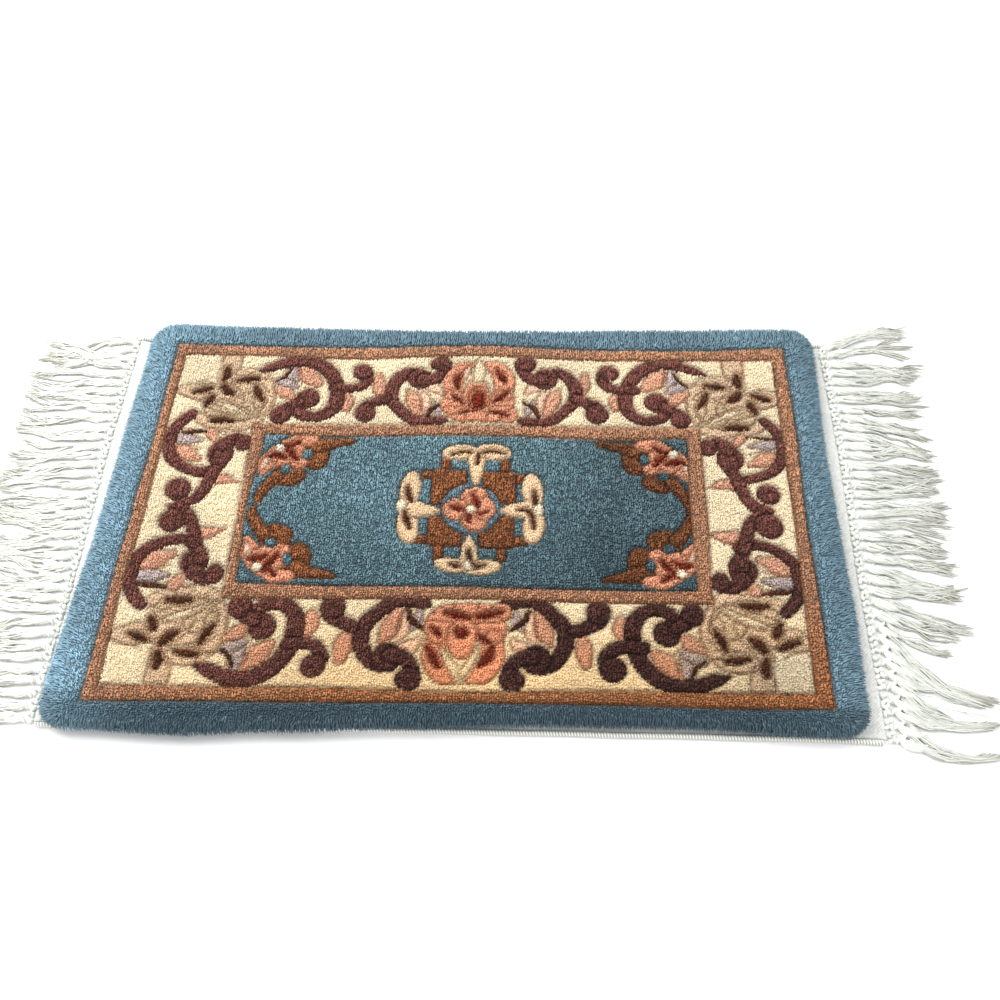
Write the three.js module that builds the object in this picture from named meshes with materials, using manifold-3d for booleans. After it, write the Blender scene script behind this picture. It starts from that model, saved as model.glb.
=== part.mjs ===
// A small carved Chinese rug of knotted wool, lying flat, in millimetres with +Z up.
// +X runs along the rug's length, +Y from its front edge to its back edge.
// The origin is in the underside, below the middle of the knotted field.
import * as THREE from "three";
import { mergeVertices } from "three/addons/utils/BufferGeometryUtils.js";
import Module from "manifold-3d";

// Driving sizes
const GAP = 0.3; // between neighbouring pieces
const GROUND_THICK = 2.4;
// How far the ground reaches to the front and the back, and how much further at its woven ends.
const GROUND_SIDES = {
  front: { half: 176.2, flare: 1.5 },
  back: { half: 171.2, flare: 5.5 },
};
const GROUND_FLARE_POWER = 12;
const GROUND_STEPS = { long: 24, short: 16 };
const WEB_END = { left: 304, right: 297 }; // how far the woven ends reach from the middle
const WEB_WAVE = 0.8;
const WEB_WAVE_LENGTH = 230;

const PILE_TOP = 14.5;
const PILE_FOOT = { left: 283, right: 277, front: 174.5, back: 170.5 };
const FOOT_RADIUS = 6;
const FOOT_COLLAR = { spread: 1, z: 4.7 }; // the pile clears the selvedge before it leans out
const CORNER_RADIUS = 21;
const PILE_CORNER = { x: 285, y: 180 }; // about where the pile's own corners are

const SELVEDGE_DIAMETER = 4;
const SELVEDGE_SIDES = 8;
const SELVEDGE_STEPS = 26;
const SELVEDGE_END_INSET = 1;

const TASSELS = 38;
const FRINGE_SPREAD = 352; // first tassel to last, along an end
const HEADING_DEPTH = 11.5; // the knotted heading that the tassels hang from
const HEADING_HEIGHT = 4.2;
const HEADING_OVERRUN = 2.5;
const HEADING_STEPS = 20;
const TASSEL_ROOT_INSET = 7; // how deep a tassel starts inside the heading
const TASSEL_STEPS = 5;

// The pile's outline: how far it reaches from the middle, as uneven as the trimmed edge.
const LONG_EDGES = [
  { at: -270, front: 185.5, back: 189.5 },
  { at: -200, front: 188.0, back: 187.0 },
  { at: -130, front: 184.5, back: 185.5 },
  { at: -40, front: 180.0, back: 184.3 },
  { at: 60, front: 176.5, back: 185.2 },
  { at: 150, front: 176.0, back: 186.8 },
  { at: 265, front: 180.0, back: 189.2 },
];
const SHORT_EDGES = [
  { at: -150, left: 299.5, right: 286.0 },
  { at: -90, left: 296.5, right: 287.5 },
  { at: -30, left: 293.0, right: 286.0 },
  { at: 60, left: 291.5, right: 285.2 },
  { at: 160, left: 289.0, right: 288.0 },
];

// The pile's rounded side, from its widest level upwards.
const SHOULDER = [
  { inset: 1.4, z: 5.6 },
  { inset: 0, z: 8.6 },
  { inset: 1.2, z: 11.4 },
  { inset: 3.8, z: 13.6 },
  { inset: 7.5, z: PILE_TOP },
];

// The lines along which the outer and the inner band are carved apart from what lies beside them.
const CARVED_LINES = [
  { halfLength: 266, halfWidth: 163 },
  { halfLength: 253.8, halfWidth: 150.8 },
  { halfLength: 182.4, halfWidth: 79.4 },
  { halfLength: 173.1, halfWidth: 70.1 },
];
const CARVING_WIDTH = 2.6;
const CARVING_DEPTH = 2.6;

// How the tassels lie: place along the end from front (0) to back (1), the heading in degrees
// from straight out (positive towards the back) at the root, the middle and the tip, and length.
const RIGHT_LAY = [
  { place: 0.01, root: -49, middle: -17, tip: 17, length: 72 },
  { place: 0.06, root: -48, middle: -20, tip: 12, length: 76 },
  { place: 0.11, root: -46, middle: -22, tip: 6, length: 70 },
  { place: 0.14, root: -42, middle: -26, tip: -18, length: 78 },
  { place: 0.2, root: -58, middle: -34, tip: -26, length: 80 },
  { place: 0.235, root: -46, middle: -30, tip: 2, length: 56 },
  { place: 0.29, root: -18, middle: -22, tip: -4, length: 68 },
  { place: 0.33, root: -12, middle: -10, tip: -2, length: 66 },
  { place: 0.38, root: -20, middle: -6, tip: 2, length: 68 },
  { place: 0.42, root: -10, middle: -10, tip: -14, length: 62 },
  { place: 0.5, root: 12, middle: 2, tip: -12, length: 66 },
  { place: 0.6, root: -4, middle: 0, tip: 0, length: 66 },
  { place: 0.68, root: 0, middle: -6, tip: -14, length: 68 },
  { place: 0.78, root: -10, middle: -14, tip: -16, length: 67 },
  { place: 0.84, root: 0, middle: 0, tip: 4, length: 68 },
  { place: 0.88, root: 0, middle: 0, tip: 0, length: 60 },
  { place: 0.95, root: 3, middle: -2, tip: -5, length: 76 },
  { place: 1, root: 38, middle: 24, tip: -8, length: 72 },
];
const LEFT_LAY = [
  { place: 0, root: -6, middle: 8, tip: 6, length: 72 },
  { place: 0.15, root: -4, middle: -8, tip: -10, length: 74 },
  { place: 0.27, root: 3, middle: -4, tip: 10, length: 76 },
  { place: 0.34, root: -18, middle: 20, tip: 24, length: 74 },
  { place: 0.42, root: -9, middle: -1, tip: 5, length: 74 },
  { place: 0.49, root: -24, middle: 12, tip: 22, length: 76 },
  { place: 0.57, root: -1, middle: -9, tip: -6, length: 76 },
  { place: 0.66, root: -8, middle: -6, tip: 8, length: 75 },
  { place: 0.73, root: -14, middle: 4, tip: 17, length: 77 },
  { place: 0.78, root: 14, middle: -6, tip: 12, length: 75 },
  { place: 0.83, root: 0, middle: -6, tip: 20, length: 76 },
  { place: 0.88, root: 8, middle: -4, tip: -12, length: 79 },
  { place: 0.93, root: 10, middle: 18, tip: 4, length: 76 },
  { place: 0.97, root: -24, middle: -20, tip: -15, length: 66 },
  { place: 1, root: 7, middle: -14, tip: -20, length: 72 },
];

// A tassel's section along its length: a share of the length, half width and height.
const TASSEL_BODY = [
  { share: 0, half: 2.6, height: 3.6 },
  { share: 0.18, half: 2.9, height: 3.8 },
  { share: 0.4, half: 2.7, height: 3.2 },
  { share: 0.7, half: 3.0, height: 2.6 },
  { share: 1, half: 1.6, height: 1.6 },
];
const TASSEL_TOP_SHARE = 0.6; // how wide a tassel's top is, against its foot

const COLOURS = { wool: 0x5c8294, cotton: 0xe6e2d6, fringe: 0xe8e6de };

const degrees = Math.PI / 180;

// The value of one column of a table at a place, eased from row to row.
function between(table, key, column, place) {
  const last = table.length - 1;
  if (place <= table[0][key]) return table[0][column];
  if (place >= table[last][key]) return table[last][column];
  const next = table.findIndex((row) => row[key] > place);
  const [a, b] = [table[next - 1], table[next]];
  const t = (place - a[key]) / (b[key] - a[key]);
  return a[column] + (b[column] - a[column]) * t * t * (3 - 2 * t);
}

// A closed mesh lofted through rings of equal length, with its two ends closed by flat fans.
function loft(rings) {
  const count = rings[0].length;
  const points = rings.flat();
  const faces = [];
  for (let r = 0; r + 1 < rings.length; r++) {
    for (let i = 0; i < count; i++) {
      const j = (i + 1) % count;
      const [a, b] = [r * count + i, r * count + j];
      const [c, d] = [a + count, b + count];
      faces.push(a, b, d, a, d, c);
    }
  }
  const ends = [
    { ring: rings[0], start: 0, turned: true },
    { ring: rings.at(-1), start: (rings.length - 1) * count, turned: false },
  ];
  for (const { ring, start, turned } of ends) {
    const centre = ring.reduce((sum, p) => sum.add(p), new THREE.Vector3());
    points.push(centre.divideScalar(count));
    const hub = points.length - 1;
    for (let i = 0; i < count; i++) {
      const [a, b] = [start + i, start + ((i + 1) % count)];
      faces.push(...(turned ? [b, a, hub] : [a, b, hub]));
    }
  }
  const geometry = new THREE.BufferGeometry().setFromPoints(points);
  geometry.setIndex(faces);
  return geometry;
}

function pieceOf(name, geometry, color, roughness) {
  geometry.computeVertexNormals();
  const material = new THREE.MeshStandardMaterial({ color, roughness, metalness: 0 });
  const mesh = new THREE.Mesh(geometry, material);
  mesh.name = name;
  return mesh;
}

// How far the woven end reaches at a distance along it.
function webEnd(side, y) {
  return WEB_END[side] + WEB_WAVE * Math.sin((2 * Math.PI * y) / WEB_WAVE_LENGTH);
}

// How far the ground reaches to the front or the back: the woven ends spread a little.
function groundReach(way, x) {
  const { half, flare } = GROUND_SIDES[way];
  const share = Math.min(1, Math.abs(x) / WEB_END.right);
  return half + flare * share ** GROUND_FLARE_POWER;
}

// A rectangle with round corners, anticlockwise, with the same number of points for any size.
// reach gives the distance from the middle to each side at a place along that side.
const SIDE_STEPS = { long: 22, short: 14, corner: 4 };
function roundedRing(reach, radius, z) {
  const ring = [];
  const corner = (x, y, from) => {
    for (let i = 0; i <= SIDE_STEPS.corner; i++) {
      const angle = (from + (90 * i) / SIDE_STEPS.corner) * degrees;
      ring.push(new THREE.Vector3(x + radius * Math.cos(angle), y + radius * Math.sin(angle), z));
    }
  };
  const side = (from, to, steps, point) => {
    for (let i = 1; i < steps; i++) ring.push(point(from + ((to - from) * i) / steps));
  };
  const { left, right, front, back } = reach;
  const far = { x: reach.end.x - radius, y: reach.end.y - radius };
  const corners = {
    frontRight: [right(-far.y) - radius, -(front(far.x) - radius)],
    backRight: [right(far.y) - radius, back(far.x) - radius],
    backLeft: [-(left(far.y) - radius), back(-far.x) - radius],
    frontLeft: [-(left(-far.y) - radius), -(front(-far.x) - radius)],
  };
  corner(...corners.frontRight, -90);
  side(corners.frontRight[1], corners.backRight[1], SIDE_STEPS.short,
    (y) => new THREE.Vector3(right(y), y, z));
  corner(...corners.backRight, 0);
  side(corners.backRight[0], corners.backLeft[0], SIDE_STEPS.long,
    (x) => new THREE.Vector3(x, back(x), z));
  corner(...corners.backLeft, 90);
  side(corners.backLeft[1], corners.frontLeft[1], SIDE_STEPS.short,
    (y) => new THREE.Vector3(-left(y), y, z));
  corner(...corners.frontLeft, 180);
  side(corners.frontLeft[0], corners.frontRight[0], SIDE_STEPS.long,
    (x) => new THREE.Vector3(x, -front(x), z));
  return ring;
}

// The pile's own outline, drawn in by an inset.
function outlineReach(inset) {
  return {
    left: (y) => between(SHORT_EDGES, "at", "left", y) - inset,
    right: (y) => between(SHORT_EDGES, "at", "right", y) - inset,
    front: (x) => between(LONG_EDGES, "at", "front", x) - inset,
    back: (x) => between(LONG_EDGES, "at", "back", x) - inset,
    end: { x: PILE_CORNER.x - inset, y: PILE_CORNER.y - inset },
  };
}

// A straight rectangle's reach on each side, spread outwards by a little.
function straightReach({ left, right, front, back }, spread) {
  return {
    left: () => left + spread,
    right: () => right + spread,
    front: () => front + spread,
    back: () => back + spread,
    end: { x: (left + right) / 2 + spread, y: (front + back) / 2 + spread },
  };
}

// The wool pile: foot, rounded shoulder, and a level top with a carved channel along each band.
function woolPile() {
  const foot = straightReach(PILE_FOOT, 0);
  const collar = straightReach(PILE_FOOT, FOOT_COLLAR.spread);
  const rings = [
    roundedRing(foot, FOOT_RADIUS, GROUND_THICK + GAP),
    roundedRing(collar, FOOT_RADIUS, FOOT_COLLAR.z),
  ];
  for (const { inset, z } of SHOULDER) {
    rings.push(roundedRing(outlineReach(inset), CORNER_RADIUS - inset, z));
  }
  for (const { halfLength, halfWidth } of CARVED_LINES) {
    for (const [shift, depth] of [[0.5, 0], [0, CARVING_DEPTH], [-0.5, 0]]) {
      const [x, y] = [halfLength, halfWidth];
      const reach = straightReach({ left: x, right: x, front: y, back: y }, shift * CARVING_WIDTH);
      rings.push(roundedRing(reach, CARVING_WIDTH, PILE_TOP - depth));
    }
  }
  return pieceOf("wool_pile", loft(rings), COLOURS.wool, 1);
}

// The woven cotton ground, with its flat woven ends.
function cottonGround() {
  const outline = [];
  const { long, short } = GROUND_STEPS;
  const [front, back] = [groundReach("front", WEB_END.right), groundReach("back", WEB_END.right)];
  const length = WEB_END.left + WEB_END.right;
  for (let i = 1; i < long; i++) {
    const x = -WEB_END.left + (length * i) / long;
    outline.push(new THREE.Vector2(x, -groundReach("front", x)));
  }
  for (let i = 0; i <= short; i++) {
    const y = -front + ((front + back) * i) / short;
    outline.push(new THREE.Vector2(webEnd("right", y), y));
  }
  for (let i = 1; i < long; i++) {
    const x = WEB_END.right - (length * i) / long;
    outline.push(new THREE.Vector2(x, groundReach("back", x)));
  }
  for (let i = 0; i <= short; i++) {
    const y = back - ((front + back) * i) / short;
    outline.push(new THREE.Vector2(-webEnd("left", y), y));
  }
  const options = { depth: GROUND_THICK, bevelEnabled: false };
  const geometry = new THREE.ExtrudeGeometry(new THREE.Shape(outline), options);
  return pieceOf("cotton_ground", geometry, COLOURS.cotton, 0.95);
}

// An overcast cord along one long side of the ground.
function selvedge(name, way) {
  const sign = way === "front" ? -1 : 1;
  const radius = SELVEDGE_DIAMETER / 2;
  const from = -WEB_END.left + SELVEDGE_END_INSET;
  const to = WEB_END.right - SELVEDGE_END_INSET;
  const rings = [];
  for (let i = 0; i <= SELVEDGE_STEPS; i++) {
    const x = from + ((to - from) * i) / SELVEDGE_STEPS;
    const y = sign * (groundReach(way, x) + GAP + radius);
    const ring = [];
    for (let k = 0; k < SELVEDGE_SIDES; k++) {
      const angle = (2 * Math.PI * (k + 0.5)) / SELVEDGE_SIDES;
      const flat = radius * Math.cos(Math.PI / SELVEDGE_SIDES);
      ring.push(new THREE.Vector3(x, y + radius * Math.cos(angle), flat + radius * Math.sin(angle)));
    }
    rings.push(ring);
  }
  return pieceOf(name, loft(rings), COLOURS.cotton, 0.95);
}

// The middle line of one tassel, whose heading turns from its root to its tip.
function tasselRoute(side, lay, place) {
  const outward = side === "right" ? 1 : -1;
  const row = (column) => between(lay, "place", column, place);
  const y = (place - 0.5) * FRINGE_SPREAD;
  const point = new THREE.Vector2(outward * (webEnd(side, y) + TASSEL_ROOT_INSET), y);
  const step = row("length") / TASSEL_STEPS;
  const route = [];
  for (let i = 0; i <= TASSEL_STEPS; i++) {
    const t = i / TASSEL_STEPS;
    const first = row("root") + (row("middle") - row("root")) * Math.min(1, 2 * t);
    const heading = (first + (row("tip") - row("middle")) * Math.max(0, 2 * t - 1)) * degrees;
    const along = new THREE.Vector2(outward * Math.cos(heading), Math.sin(heading));
    route.push({ share: t, at: point.clone(), across: new THREE.Vector2(-along.y, along.x) });
    point.addScaledVector(along, step);
  }
  return route;
}

// One tassel: flat below, narrower above, along its route.
function tassel(side, lay, place) {
  const rings = tasselRoute(side, lay, place).map(({ share, at, across }) => {
    const half = between(TASSEL_BODY, "share", "half", share);
    const height = between(TASSEL_BODY, "share", "height", share);
    const corners = [[-1, 0], [1, 0], [TASSEL_TOP_SHARE, height], [-TASSEL_TOP_SHARE, height]];
    return corners.map(([sideways, z]) => {
      const point = at.clone().addScaledVector(across, sideways * half);
      return new THREE.Vector3(point.x, point.y, z);
    });
  });
  return loft(rings);
}

// The knotted heading along one woven end.
function heading(side) {
  const outward = side === "right" ? 1 : -1;
  const front = groundReach("front", WEB_END.right) + HEADING_OVERRUN;
  const back = groundReach("back", WEB_END.right) + HEADING_OVERRUN;
  const [from, to] = side === "right" ? [-front, back] : [back, -front];
  const rings = [];
  for (let i = 0; i <= HEADING_STEPS; i++) {
    const y = from + ((to - from) * i) / HEADING_STEPS;
    const near = outward * (webEnd(side, y) + GAP);
    const far = outward * (webEnd(side, y) + GAP + HEADING_DEPTH);
    const shoulder = near + (far - near) / 4;
    rings.push([
      new THREE.Vector3(near, y, 0),
      new THREE.Vector3(near, y, HEADING_HEIGHT / 2),
      new THREE.Vector3(shoulder, y, HEADING_HEIGHT),
      new THREE.Vector3(far, y, HEADING_HEIGHT),
      new THREE.Vector3(far, y, 0),
    ]);
  }
  return loft(rings);
}

const wasm = await Module();
wasm.setup();

// A closed mesh as a solid that can be joined to others.
function solidOf(geometry) {
  const merged = mergeVertices(geometry, 1e-3);
  const vertProperties = merged.attributes.position.array;
  const triVerts = new Uint32Array(merged.index.array);
  return new wasm.Manifold(new wasm.Mesh({ numProp: 3, vertProperties, triVerts }));
}

// The fringe of one end: a comb of tassels joined at their heading.
function fringe(name, side, lay) {
  let comb = solidOf(heading(side));
  for (let i = 0; i < TASSELS; i++) {
    comb = comb.add(solidOf(tassel(side, lay, i / (TASSELS - 1))));
  }
  const { vertProperties, triVerts } = comb.getMesh();
  const geometry = new THREE.BufferGeometry();
  geometry.setAttribute("position", new THREE.BufferAttribute(vertProperties, 3));
  geometry.setIndex(new THREE.BufferAttribute(triVerts, 1));
  return pieceOf(name, geometry, COLOURS.fringe, 0.95);
}

const rug = new THREE.Group();
rug.add(woolPile(), cottonGround());
rug.add(selvedge("selvedge_front", "front"), selvedge("selvedge_back", "back"));
rug.add(fringe("fringe_left", "left", LEFT_LAY), fringe("fringe_right", "right", RIGHT_LAY));

export default rug;
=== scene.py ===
import math

import bpy
import numpy as np
from mathutils import Matrix, Vector


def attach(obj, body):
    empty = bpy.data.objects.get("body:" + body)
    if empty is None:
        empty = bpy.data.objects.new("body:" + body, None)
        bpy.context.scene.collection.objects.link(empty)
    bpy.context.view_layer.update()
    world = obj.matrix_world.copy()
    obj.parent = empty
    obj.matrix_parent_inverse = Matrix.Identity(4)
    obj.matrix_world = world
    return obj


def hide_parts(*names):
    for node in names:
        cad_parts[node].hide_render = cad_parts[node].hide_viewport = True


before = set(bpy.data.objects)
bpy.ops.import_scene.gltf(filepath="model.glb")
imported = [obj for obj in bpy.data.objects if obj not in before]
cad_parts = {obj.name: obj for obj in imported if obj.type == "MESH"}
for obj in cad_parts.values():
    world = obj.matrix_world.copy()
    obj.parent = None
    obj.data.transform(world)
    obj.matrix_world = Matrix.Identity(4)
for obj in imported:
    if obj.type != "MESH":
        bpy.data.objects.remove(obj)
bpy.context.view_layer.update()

# Sizes are in millimetres in this script, and meshes, lights and the floor are made in metres.
MM = 0.001
TINY = 1e-9
rng = np.random.default_rng(20261)

# The camera, the light and the floor

PHOTO_SIDE = 1000
FOCAL_PIXELS = 1050
SENSOR_MM = 36
CAMERA_PLACE = (51.5, -434.6, 710.7)
CAMERA_RIGHT = (0.99931, 0.03062, -0.02109)
CAMERA_DOWN = (0.01458, -0.84451, -0.53534)
CAMERA_AHEAD = (-0.03420, 0.53467, -0.84437)
NEAREST_SEEN = 0.01
FARTHEST_SEEN = 50
LIGHTS = [
    {"name": "key", "place": (-1.05, 0.7, 1.25), "aim": (-0.05, 0, 0), "size": 1.6, "watts": 32},
    {"name": "fill", "place": (0.9, 0.2, 1.8), "aim": (0, 0, 0), "size": 1.4, "watts": 12},
]
ROOM_LIGHT = 0.89
FLOOR_REACH = 6
FLOOR_WHITE = 0.9


def add_camera():
    data = bpy.data.cameras.new("camera")
    data.sensor_width = SENSOR_MM
    data.lens = SENSOR_MM * FOCAL_PIXELS / PHOTO_SIDE
    data.clip_start = NEAREST_SEEN
    data.clip_end = FARTHEST_SEEN
    camera = bpy.data.objects.new("camera", data)
    bpy.context.scene.collection.objects.link(camera)
    axes = [CAMERA_RIGHT, [-v for v in CAMERA_DOWN], [-v for v in CAMERA_AHEAD]]
    turn = Matrix(axes).transposed().to_4x4()
    camera.matrix_world = Matrix.Translation([v * MM for v in CAMERA_PLACE]) @ turn
    bpy.context.scene.camera = camera


def add_light(name, place, aim, size, watts):
    """A round soft light at a place, turned towards what it lights."""
    data = bpy.data.lights.new(name, "AREA")
    data.shape = "DISK"
    data.size = size
    data.energy = watts
    light = bpy.data.objects.new(name, data)
    bpy.context.scene.collection.objects.link(light)
    light.location = place
    away = Vector(place) - Vector(aim)
    light.rotation_euler = away.to_track_quat("Z", "Y").to_euler()


def add_room_light():
    world = bpy.data.worlds.new("studio")
    bpy.context.scene.world = world
    world.use_nodes = True
    sky = world.node_tree.nodes["Background"]
    sky.inputs["Color"].default_value = (1, 1, 1, 1)
    sky.inputs["Strength"].default_value = ROOM_LIGHT
    bpy.context.scene.view_settings.view_transform = "Standard"


def new_material(name, roughness, specular):
    """A material and its shader."""
    material = bpy.data.materials.new(name)
    material.use_nodes = True
    shader = material.node_tree.nodes["Principled BSDF"]
    shader.inputs["Roughness"].default_value = roughness
    shader.inputs["Specular IOR Level"].default_value = specular
    return material, shader


def add_floor():
    material, shader = new_material("floor_white", roughness=0.9, specular=0.1)
    shader.inputs["Base Color"].default_value = (FLOOR_WHITE, FLOOR_WHITE, FLOOR_WHITE, 1)
    mesh = bpy.data.meshes.new("floor")
    corners = [(x * FLOOR_REACH, y * FLOOR_REACH, 0) for x, y in [(-1, -1), (1, -1), (1, 1), (-1, 1)]]
    mesh.from_pydata(corners, [], [(0, 1, 2, 3)])
    mesh.materials.append(material)
    floor = bpy.data.objects.new("floor", mesh)
    bpy.context.scene.collection.objects.link(floor)


add_camera()
add_room_light()
for light in LIGHTS:
    add_light(**light)
add_floor()

# Meshes, tables and easing


def new_piece(name, points, faces, material, node, colours):
    """A smooth mesh from points in millimetres, faces of equal length and a colour at each point.
    It stands for a node of the frame, or is an extra piece where the node is None."""
    points = np.asarray(points, float) * MM
    faces = np.asarray(faces, np.int32)
    sides = faces.shape[1]
    mesh = bpy.data.meshes.new(name)
    mesh.vertices.add(len(points))
    mesh.vertices.foreach_set("co", points.ravel())
    mesh.loops.add(faces.size)
    mesh.loops.foreach_set("vertex_index", faces.ravel())
    mesh.polygons.add(len(faces))
    mesh.polygons.foreach_set("loop_start", np.arange(0, faces.size, sides, dtype=np.int32))
    mesh.update(calc_edges=True)
    mesh.polygons.foreach_set("use_smooth", np.ones(len(faces), bool))
    layer = mesh.attributes.new("dye", "FLOAT_COLOR", "POINT")
    layer.data.foreach_set("color", np.c_[colours, np.ones(len(colours))].ravel())
    mesh.materials.append(material)
    mesh.validate()
    piece = bpy.data.objects.new(name, mesh)
    bpy.context.scene.collection.objects.link(piece)
    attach(piece, "root")
    if node:
        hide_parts(node)
    return piece


def grid_faces(rows, columns):
    """Four-sided faces between the points of a grid, and the points of its rim in order."""
    index = np.arange(rows * columns).reshape(rows, columns)
    quads = np.stack([index[:-1, :-1], index[1:, :-1], index[1:, 1:], index[:-1, 1:]], -1)
    rim = np.concatenate([index[:-1, 0], index[-1, :-1], index[:0:-1, -1], index[0, :0:-1]])
    return quads.reshape(-1, 4), rim


def table(names, *rows):
    """A table as one list of values for each named column."""
    return {name: np.array(values, float) for name, values in zip(names.split(), zip(*rows))}


def between(rows, column, place):
    """The value of one column of a table at each place, eased from row to row."""
    keys, values = rows["at"], rows[column]
    held = np.clip(np.asarray(place, float), keys[0], keys[-1])
    n = np.clip(np.searchsorted(keys, held, side="right") - 1, 0, len(keys) - 2)
    t = (held - keys[n]) / (keys[n + 1] - keys[n])
    return values[n] + (values[n + 1] - values[n]) * t * t * (3 - 2 * t)


def ease(low, high, value):
    t = np.clip((np.asarray(value, float) - low) / (high - low), 0, 1)
    return t * t * (3 - 2 * t)


# Wool colours, as linear light

def dye(red, green, blue):
    """A colour given as it looks on a screen, 0 to 255."""
    share = np.array([red, green, blue]) / 255
    return np.where(share <= 0.04045, share / 12.92, ((share + 0.055) / 1.055) ** 2.4)


DYES = {
    "border_blue": dye(133, 165, 181),
    "field_blue": dye(115, 145, 155),
    "ring_blue": dye(124, 150, 164),
    "rust": dye(192, 144, 112),
    "field_rust": dye(156, 98, 60),
    "cream": dye(245, 229, 197),
    "plum": dye(126, 76, 66),
    "coral": dye(236, 170, 136),
    "deep_coral": dye(208, 126, 92),
    "leaf": dye(226, 174, 144),
    "blush": dye(248, 214, 186),
    "garnet": dye(142, 48, 24),
    "tan": dye(226, 198, 166),
    "shadow_tan": dye(218, 192, 158),
    "umber": dye(98, 54, 28),
    "fawn": dye(196, 158, 122),
    "lilac": dye(200, 182, 178),
    "ivory": dye(244, 216, 178),
    "milk": dye(255, 246, 220),
}
DYE_NAMES = list(DYES)
WOOL_DYES = np.array(list(DYES.values()))


def paleness(tint):
    """0 for the deep dyes and 1 for the pale ones."""
    return ease(0.15, 0.7, tint.mean(1))


# The design: shapes measured from the middle of the rug

# Where each band of the design ends: half widths at places along the rug, which vary by hand.
BAND_WIDTHS = table(
    "at rust_back cream_back band_back field_back rust_front cream_front band_front field_front",
    (-265, 165, 153, 79, 69, 165.5, 153.5, 83, 69.5),
    (-180, 162.5, 152, 79, 69, 164, 153, 83, 69.5),
    (-110, 162, 149.3, 79, 67, 163.5, 152, 82, 70.8),
    (0, 166, 154.5, 80.5, 70, 161.5, 153.3, 80, 69.8),
    (110, 161.7, 150, 80, 66.7, 161, 150.3, 81.5, 71),
    (180, 162, 151, 80, 69, 162, 150, 81, 70),
    (265, 166, 152, 80, 69, 161, 149.5, 81, 70),
)
# The same for half lengths, at places across the rug.
BAND_LENGTHS = table(
    "at rust_left cream_left rust_right cream_right",
    (-160, 270, 259.5, 262, 249.5),
    (-80, 269, 260, 262, 250),
    (0, 267, 256.5, 261, 251.5),
    (80, 264.5, 256, 263, 251),
    (160, 263.5, 254.5, 262, 251.5),
)
FIELD_LENGTHS = table(
    "at band_left field_left band_right field_right",
    (-70, 183, 174.5, 184, 173),
    (0, 183, 177, 185, 172),
    (70, 184, 172.5, 185, 173.5),
)
DESIGN_HALF = np.array([280, 175])  # no band reaches further


def side_reach(x, y, widths, lengths, name=""):
    """How far an outline reaches along and across the rug, on the side that each place is on."""
    reach_x = np.where(x < 0, between(lengths, name + "left", y), between(lengths, name + "right", y))
    reach_y = np.where(y < 0, between(widths, name + "front", x), between(widths, name + "back", x))
    return reach_x, reach_y


def band(colour, name, lengths):
    """One of the nested frames, with uneven sides."""
    def distance(x, y):
        reach_x, reach_y = side_reach(x, y, BAND_WIDTHS, lengths, name + "_")
        return np.maximum(np.abs(x) - reach_x, np.abs(y) - reach_y)

    return colour, -DESIGN_HALF, DESIGN_HALF, distance


def curve(places, halves):
    """Points along a smooth curve through a few places, with a half width at each."""
    steps = 8 if len(places) == 2 else 6
    p = np.array(places, float)
    w = np.array(halves, float)
    p = np.vstack([2 * p[0] - p[1], p, 2 * p[-1] - p[-2]])
    out, half = [], []
    for i in range(1, len(p) - 2):
        for t in np.arange(steps) / steps:
            a, b, c, d = p[i - 1], p[i], p[i + 1], p[i + 2]
            out.append(0.5 * (2 * b + (c - a) * t + (2 * a - 5 * b + 4 * c - d) * t * t
                              + (3 * b - a - 3 * c + d) * t ** 3))
            s = t * t * (3 - 2 * t)
            half.append(w[i - 1] + (w[i] - w[i - 1]) * s)
    out.append(p[-2])
    half.append(w[-1])
    return np.array(out), np.array(half)


def stroke(colour, *rows):
    """A brush stroke: each row is a place and the half width there."""
    places, half = curve([row[:2] for row in rows], [row[2] for row in rows])
    reach = half.max()

    def distance(x, y):
        best = np.full(len(x), 1e9)
        for (ax, ay), (bx, by), ha, hb in zip(places[:-1], places[1:], half[:-1], half[1:]):
            dx, dy = bx - ax, by - ay
            t = np.clip(((x - ax) * dx + (y - ay) * dy) / max(dx * dx + dy * dy, TINY), 0, 1)
            gone = np.hypot(x - ax - t * dx, y - ay - t * dy) - (ha + (hb - ha) * t)
            np.minimum(best, gone, out=best)
        return best

    low, high = places.min(0) - reach, places.max(0) + reach
    return colour, low, high, distance


def egg(colour, x0, y0, rx, ry, turn=0):
    """An ellipse, turned anticlockwise by some degrees."""
    c, s = math.cos(math.radians(turn)), math.sin(math.radians(turn))

    def distance(x, y):
        u = (x - x0) * c + (y - y0) * s
        v = (y - y0) * c - (x - x0) * s
        k = np.sqrt((u / rx) ** 2 + (v / ry) ** 2) + 1e-6
        slope = np.sqrt((u / rx ** 2) ** 2 + (v / ry ** 2) ** 2) + 1e-6
        return k * (k - 1) / slope

    reach = max(rx, ry)
    return colour, np.array([x0 - reach, y0 - reach]), np.array([x0 + reach, y0 + reach]), distance


def shaded(colour, *rows):
    """A dark dash in a flower, with its softer shade round it."""
    soft = "deep_coral" if colour == "garnet" else "fawn"
    return [stroke(soft, *[(x, y, half + 0.9) for x, y, half in rows]),
            stroke(colour, *[(x, y, half * 0.85) for x, y, half in rows])]


def bar(colour, x0, y0, hx, hy):
    """A rectangle with slightly round corners."""
    radius = 1.5

    def distance(x, y):
        u = np.abs(x - x0) - hx + radius
        v = np.abs(y - y0) - hy + radius
        outside = np.hypot(np.maximum(u, 0), np.maximum(v, 0))
        return outside + np.minimum(np.maximum(u, v), 0) - radius

    return colour, np.array([x0 - hx, y0 - hy]), np.array([x0 + hx, y0 + hy]), distance


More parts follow.
